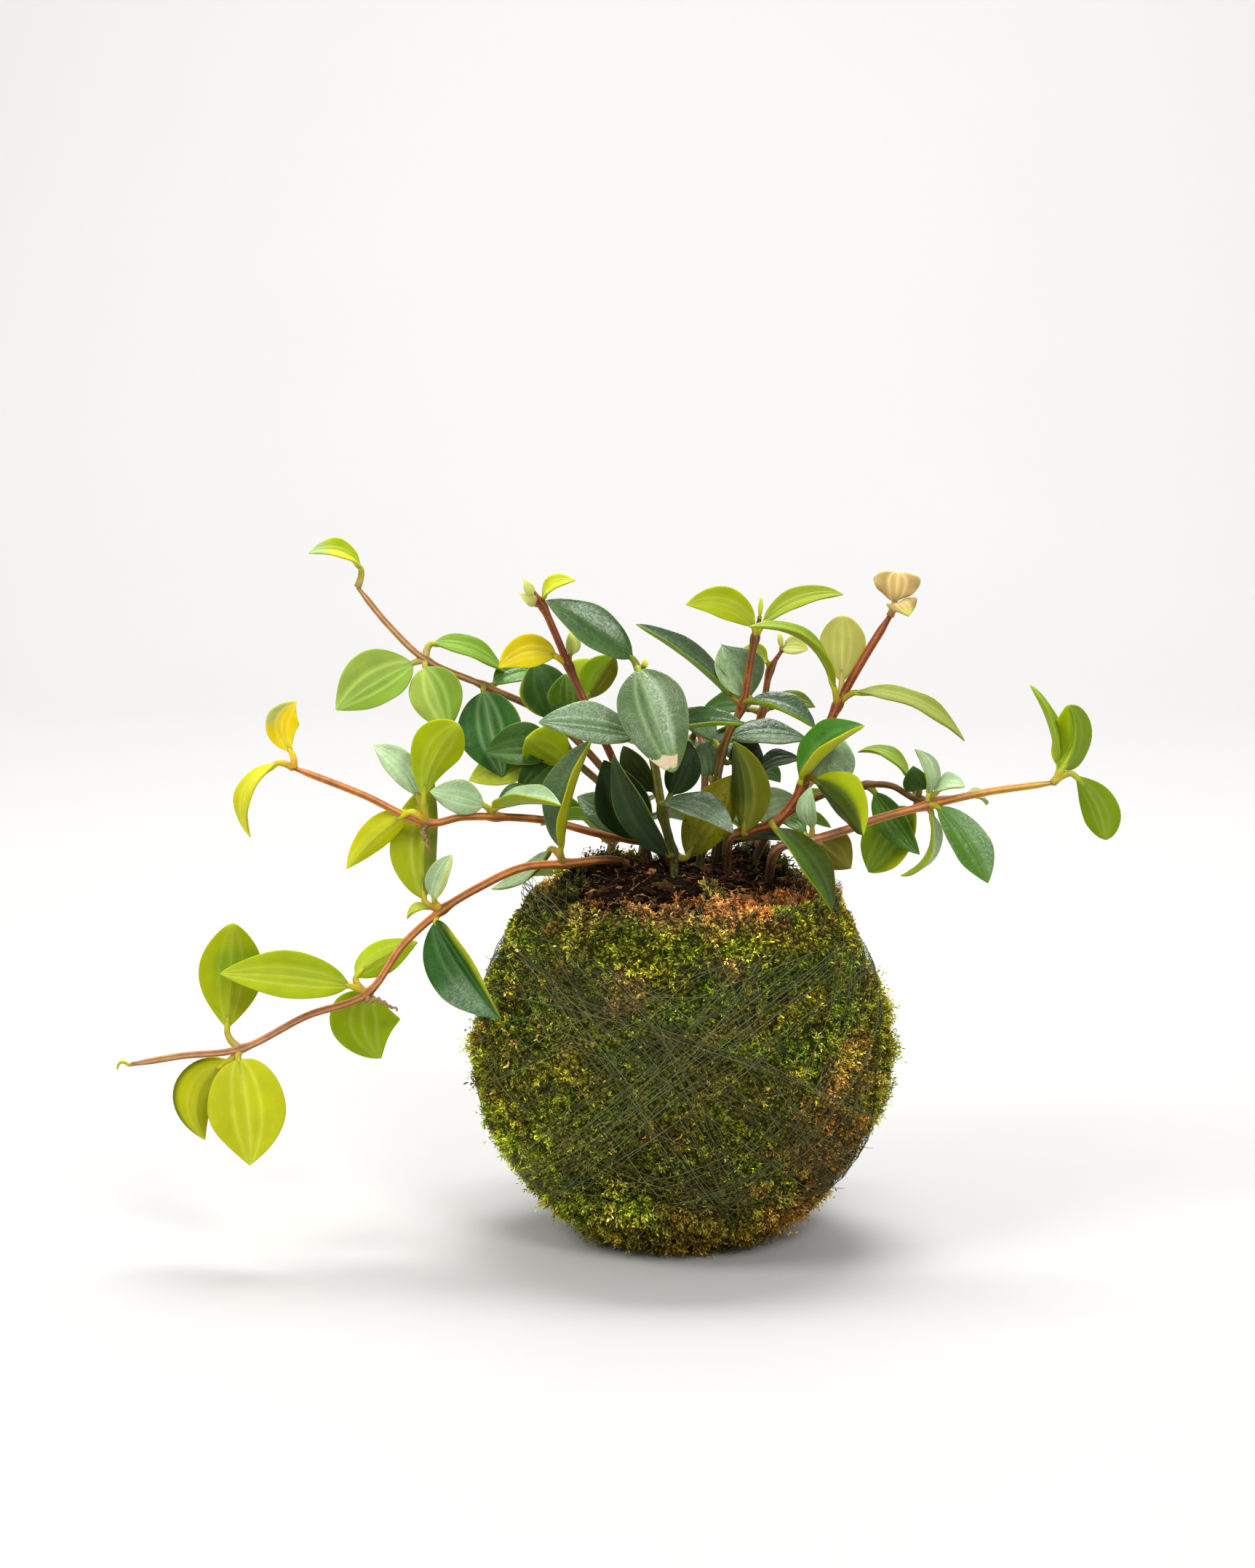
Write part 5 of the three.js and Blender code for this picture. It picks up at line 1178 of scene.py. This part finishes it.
def lay_patch(tones, unders, shine, across, t, look, way, place, low, high, amount):
    """Lays a patch on a blade's colours, or on its painted sheen: a pale speckled highlight that the leaf
    material paints into the colour.
    """
    hand = 1.0 if np.dot(across, WAYS[way]) > 0 else -1.0
    share = smooth_step(hand * COLUMNS, place - 0.16, place + 0.16)[None, :] * np.ones((len(t), 1))
    starts, ends = (smooth_step(t, place - 0.12, place + 0.12) for place in (low, high))
    share = share * (starts * (1 - ends))[:, None]
    # Painted sheen: a sheen patch only raises the pale speckled highlight, not the look.
    if look == "sheen":
        shine += amount * share
        return
    # Patches of the pale silvery look are mottled like a sheen: partly the leaves' own silvery tone and partly
    # painted sheen.
    if look == "slate":
        grid = np.stack(np.broadcast_arrays(COLUMNS * 9.0, (t * 26.0)[:, None], 0.5), axis=-1)
        share = share * (0.15 + 1.6 * noise(grid, 1.0, 17))
    share = (amount * share).clip(0, 1)[..., None]
    for colours, colour in zip((tones, unders), LOOKS[look]):
        colours[..., :3] += (np.array(colour) - colours[..., :3]) * share


def add_stalk(pile, path, radii, sides, tone, blade, side=1.0, shape=None):
    """A round part of the plant."""
    fields = {"blade": blade, "side": [side], "tone": tone, "under": tone, "marks": [0] * 4, "shine": [0.0]}
    add_tube(pile, path, radii, sides, shape, FINISHES.index("stem"), **fields)


def add_petiole(pile, joint, base, rib, ups, heading, t, tone, width, stem_tone):
    """The stalk from the stem's joint, which runs on as a keel under the blade."""
    bend = base - heading[0] * np.linalg.norm(base - joint) * 0.45
    s = np.linspace(0, 1, 8)[:, None]
    stalk = (1 - s) ** 2 * joint + 2 * s * (1 - s) * bend + s * s * base
    run = np.linspace(0.03, 0.34, 6)
    keel = read_rows(run, t, rib) - read_rows(run, t, ups) * 0.30
    path = np.concatenate([stalk[:-1], keel])
    radii = np.concatenate([np.linspace(1.12, 0.85, 7), np.linspace(0.82, 0.15, 6)])
    colour = np.clip(np.array(tone) * [1.05, 0.95, 1.0] + [0.03, 0.02, 0.0], 0, 1)
    share = np.linspace(0.75, -0.35, len(path)).clip(0, 1)[:, None]
    colours = opaque(colour + (stem_tone - colour) * share)
    add_stalk(pile, path, radii * min(1.0, 0.45 + width / 18), 8, colours, [0.3, 0.5, 1.0], 0.0)


def curve_points(points, samples):
    """The centripetal Catmull-Rom curve of the part's source, with its place along the stations."""
    count = len(points)
    places = np.linspace(0, count - 1, samples)
    out = []
    for place in places:
        i = min(int(place), count - 2)
        w = place - i
        p1, p2 = points[i], points[i + 1]
        p0 = points[i - 1] if i > 0 else 2 * p1 - p2
        p3 = points[i + 2] if i + 2 < count else 2 * p2 - p1
        d0, d1, d2 = (max(np.linalg.norm(b - a), 1e-4) ** 0.5 for a, b in ((p0, p1), (p1, p2), (p2, p3)))
        t1 = ((p1 - p0) / d0 - (p2 - p0) / (d0 + d1) + (p2 - p1) / d1) * d1
        t2 = ((p2 - p1) / d1 - (p3 - p1) / (d1 + d2) + (p3 - p2) / d2) * d1
        a = 2 * p1 - 2 * p2 + t1 + t2
        b = -3 * p1 + 3 * p2 - 2 * t1 - t2
        out.append(a * w**3 + b * w**2 + t1 * w + p1)
    return np.array(out), places


STEM_SIDES, STEM_RIDGES = 20, 5
ROOTED = 3  # stations of a stem below the first that its row gives


def add_stem(pile, spray, rng):
    """A ridged stem with swollen joints."""
    x, y = spray["root"]
    level = float(soil_top(x, y))
    start = [np.array([x, y, level + rise]) for rise in (-9.0, -4.5, 1.2)]
    stations = start + [seen(p) for p in spray["stem"]]
    length = sum(np.linalg.norm(b - a) for a, b in zip(stations, stations[1:]))
    path, places = curve_points(stations, int(length / 0.9) + 8)
    thick = spray["thick"]
    radii = 0.86 * (thick[0] + (thick[1] - thick[0]) * places / (len(stations) - 1))
    run = np.concatenate([[0], np.cumsum(np.linalg.norm(np.diff(path, axis=0), axis=1))])
    dark = np.zeros(len(path))
    for joint in sorted({one["at"] + ROOTED for one in spray["leaves"]}):
        off = run - np.interp(joint, places, run)
        radii = radii * (1 + 0.38 * ridge(off, 1.9))
        radii = radii * (1 - 0.10 * ridge(off - 3.2, 0.5))
        dark += ridge(off, 1.7)
    radii = radii * (1 + 0.05 * (noise(path, 4.0, 77) - 0.5))
    radii = radii * (0.45 + 0.55 * smooth_step(run[-1] - run, 0.0, 5.0))
    names = spray["colours"]
    share = np.linspace(0, len(names) - 1, len(path))
    tone = read_rows(share, np.arange(len(names)), [STEMS[name] for name in names])
    young = 1 - np.clip(dark, 0, 1)
    tone = tone * (1 - 0.25 * np.clip(dark, 0, 1))[:, None] * (0.85 + 0.3 * noise(path, 6.0, 78))[:, None]
    # Painted shade: a stem is darkened to about a third near its foot, brightening from 14 to 27 mm along it,
    # for the shade under the leaves.
    tone = opaque(tone * (0.35 + 0.65 * smooth_step(run, 14.0, 27.0))[:, None])
    phase = rng.uniform(0, 6)
    crest = np.tile(np.cos(STEM_RIDGES * around(STEM_SIDES) + phase), len(path))
    stripes = np.stack([crest, np.repeat(young, STEM_SIDES), np.ones(len(crest))], axis=1)
    stripes = np.concatenate([stripes, [(0.0, 0.0, 1.0)] * 2])

    def ridged(angles):
        return 1 + 0.06 * np.cos(STEM_RIDGES * angles + phase)

    add_stalk(pile, path, radii, STEM_SIDES, tone, stripes, shape=ridged)


# Dried roots that hang from joints: points as in the front view
DRY_ROOTS = {
    "spray_trailing_left": [
        (-88.3, 14, -26.5), (-87.5, 12.5, -28), (-85, 13, -29), (-82, 11, -29.5), (-79.5, 10, -29.5),
    ],
    "spray_middle_left": [(-72, 62, -17), (-73, 60, -18.5), (-72, 58, -19), (-71, 54, -19)],
}


def add_dry_root(pile, rng, stations):
    path, _ = curve_points([seen(p) for p in stations], 26)
    path = path + 0.25 * (rng.normal(size=path.shape))
    radii = np.linspace(0.75, 0.30, 26) * (0.8 + 0.5 * noise(path, 1.4, 90))
    add_stalk(pile, path, radii, 6, [0.24, 0.15, 0.065, 1.0], [0.0, 0.5, 1.0])


def add_sprays(materials):
    for index, spray in enumerate(SPRAYS + [far_spray(*row) for row in FAR_SPRAYS]):
        rng = np.random.default_rng(SPRAY_SEED + index)
        pile = Pile("blade", "side", "tone", "under", "marks", "shine")
        add_stem(pile, spray, rng)
        names, stations = spray["colours"], spray["stem"]
        for spec in spray["leaves"]:
            share = (spec["at"] + ROOTED) / (len(stations) + 2)
            stem_tone = np.array(STEMS[names[round(share * (len(names) - 1))]])
            add_leaf(pile, spec, seen(stations[spec["at"]]), rng, stem_tone)
        if spray["name"] in DRY_ROOTS:
            add_dry_root(pile, rng, DRY_ROOTS[spray["name"]])
        name = spray["name"] + "_leafy"
        pile.make(name, [materials[finish] for finish in FINISHES], [spray["name"]])


# Materials
def vein_shares(tree, from_rib, half):
    """Thin lines and soft bands along the rib and the two veins on each side of it."""
    rib = tree.times(from_rib, half)
    lines = tree.ramp(rib, 0.08, 0.36, 1.0, 0.0)
    bands = tree.ramp(rib, 0.1, 2.2, 1.0, 0.0)
    for place, line, band in zip(VEINS, (0.55, 0.10), (0.95, 0.22)):
        off = tree.times(tree.math("ABSOLUTE", tree.math("SUBTRACT", from_rib, place)), half)
        lines = tree.math("MAXIMUM", lines, tree.ramp(off, 0.05, 0.30, line, 0.0))
        bands = tree.math("MAXIMUM", bands, tree.ramp(off, 0.1, 1.7, band, 0.0))
    return lines, tree.times(bands, bands)


def leaf_material(name, specular, rough_low, rough_high, pitted, through, clouds):
    tree = Tree(name)
    u, t, half = tree.add("SeparateXYZ", {0: tree.field("blade", "Vector")}).outputs
    specked, rimmed, harmed = tree.add("SeparateColor", {0: tree.field("marks")}).outputs
    from_rib = tree.math("ABSOLUTE", u)
    lines, bands = vein_shares(tree, from_rib, half)
    lines = tree.times(lines, tree.ramp(t, 0.45, 1.0, 1.0, 0.35))
    veins = tree.math("ADD", tree.times(lines, 0.40), tree.times(bands, 0.55))
    veins = tree.times(veins, tree.field("marks", "Alpha"))
    cloudy = tree.noise(160.0)

    def clouded(colour):
        return tree.brightness(colour, tree.ramp(cloudy, 0.25, 0.75, 1 - clouds, 1 + clouds))

    upper = clouded(tree.field("tone"))
    pale = tree.mix(0.20, tree.brightness(upper, tree.ramp(cloudy, 0.0, 1.0, 1.7, 2.0)), (0.80, 0.88, 0.58, 1))
    upper = tree.mix(veins, upper, pale)
    upper = tree.mix(tree.times(tree.ramp(from_rib, 0.94, 1.0), 0.35), upper, (0.24, 0.28, 0.05, 1))
    under = clouded(tree.field("under"))
    glow = tree.brightness(under, tree.ramp(cloudy, 0.0, 1.0, 1.30, 1.45))
    under = tree.mix(veins, under, tree.mix(0.3, glow, (0.60, 0.62, 0.26, 1)))
    colour = tree.mix(tree.field("side", "Fac"), under, upper)
    # Painted sheen: the colour turns pale grey-green in fine speckles where a sheen patch lies, a highlight
    # painted into the colour.
    dots = tree.ramp(tree.noise(1500.0, 3.0, 0.7), 0.42, 0.62, 0.35, 1.0)
    colour = tree.mix(tree.times(tree.field("shine", "Fac"), dots), colour, (0.50, 0.63, 0.46, 1))
    browned = tree.times(tree.ramp(from_rib, 0.90, 1.0), rimmed)
    browned = tree.times(browned, tree.ramp(tree.noise(900.0), 0.35, 0.6))
    colour = tree.mix(browned, colour, (0.22, 0.11, 0.04, 1))
    specks = tree.times(tree.ramp(tree.noise(1300.0, 1.0), 0.62, 0.70), specked)
    colour = tree.mix(tree.times(specks, 0.7), colour, (0.02, 0.02, 0.004, 1))
    ragged = tree.times(tree.math("SUBTRACT", tree.noise(420.0, 4.0), 0.5), 0.30)
    ragged = tree.math("ADD", t, ragged)
    torn = tree.times(tree.ramp(ragged, 0.84, 0.86), tree.ramp(ragged, 0.93, 0.95, 1.0, 0.0))
    torn = tree.times(torn, tree.ramp(tree.math("ADD", u, tree.times(ragged, 0.3)), -0.35, -0.2))
    colour = tree.mix(tree.times(torn, harmed), colour, (0.62, 0.50, 0.32, 1))
    colour = tree.mix(tree.times(tree.ramp(t, 0.975, 0.99), harmed), colour, (0.16, 0.06, 0.02, 1))
    normal = tree.bump(tree.math("SUBTRACT", 1.0, lines), 0.4, 0.0003)
    normal = tree.bump(tree.noise(750.0, 3.0, 0.6), pitted, 0.0006, normal)
    normal = tree.bump(tree.cells(1500.0), 0.6 * pitted, 0.00012, normal)
    rough = tree.ramp(tree.noise(700.0, 2.0), 0.3, 0.7, rough_low, rough_high)
    return tree.surface(colour, rough, specular, normal, {
        "Subsurface Weight": through, "Subsurface Radius": (1.0, 1.0, 0.2), "Subsurface Scale": 0.0016,
    })


def stem_material():
    tree = Tree("living_stem")
    crest = tree.add("SeparateXYZ", {0: tree.field("blade", "Vector")}).outputs[0]
    streak = tree.noise(420.0, 4.0)
    ridged = tree.math("ADD", crest, tree.times(tree.math("SUBTRACT", streak, 0.5), 2.4))
    colour = tree.brightness(tree.field("tone"), tree.ramp(ridged, -1.1, 1.2, 0.62, 1.5))
    dots = tree.ramp(tree.noise(1500.0, 1.0), 0.62, 0.72)
    colour = tree.mix(tree.times(dots, 0.35), colour, (0.40, 0.30, 0.12, 1))
    normal = tree.bump(tree.noise(1600.0, 2.0), 0.25, 0.0001)
    return tree.surface(colour, tree.ramp(streak, 0.3, 0.7, 0.30, 0.46), 0.22, normal, {
        "Subsurface Weight": 0.3, "Subsurface Radius": (1.0, 0.6, 0.25), "Subsurface Scale": 0.0009,
    })


def moss_material():
    tree = Tree("living_moss")
    colour = tree.brightness(tree.field("tone"), tree.ramp(tree.noise(800.0, 2.0), 0.3, 0.7, 0.75, 1.25))
    solid = tree.add("BsdfPrincipled", {"Base Color": colour, "Roughness": 0.62, "Specular IOR Level": 0.07})
    bright = tree.brightness(colour, tree.ramp(tree.noise(90.0), 0, 1, 1.0, 1.3))
    through = tree.add("BsdfTranslucent", {"Color": bright})
    return tree.finish(tree.add("MixShader", {0: 0.28, 1: solid.outputs[0], 2: through.outputs[0]}))


def moss_bed_material():
    """The moss below the sprigs: a mat of small tips whose brightness follows the relief of its bump, painted
    shade in the dark gaps and lighter tips.
    """
    tree = Tree("moss_bed")
    height = tree.math("SUBTRACT", 1.0, tree.cells(900.0))
    height = tree.math("ADD", height, tree.times(tree.noise(1700.0, 2.0), 0.6))
    colour = tree.brightness(tree.field("tone"), tree.ramp(height, 0.65, 1.3, 0.25, 2.3))
    return tree.surface(colour, 0.8, 0.05, tree.bump(height, 0.8, 0.0006))


def grainy_material(name, scale, detail, tones, rough, specular, bump):
    """A material whose brightness, roughness and relief follow one fine noise."""
    tree = Tree(name)
    grain = tree.noise(scale, detail)
    colour = tree.brightness(tree.field("tone"), tree.ramp(grain, 0.3, 0.7, *tones))
    return tree.surface(colour, tree.ramp(grain, 0.3, 0.7, *rough), specular, tree.bump(grain, *bump))


add_camera()
add_room()
add_sprays({
    "gloss": leaf_material("glossy_leaf", 0.33, 0.24, 0.38, 0.55, 0.35, 0.16),
    "soft": leaf_material("soft_leaf", 0.07, 0.38, 0.52, 0.18, 0.6, 0.07),
    # calm_leaf: less gloss, partly for matte undersides and partly painted shade on leaves deep in the plant.
    "calm": leaf_material("calm_leaf", 0.09, 0.30, 0.45, 0.45, 0.4, 0.16),
    "stem": stem_material(),
})
add_moss(moss_bed_material(), moss_material())
add_thread(grainy_material("spun_thread", 2400.0, 2.0, (0.7, 1.35), (0.45, 0.65), 0.15, (0.3, 0.00008)))
add_soil(grainy_material("potting_soil", 1500.0, 4.0, (0.6, 1.5), (0.75, 0.95), 0.03, (0.5, 0.0004)))
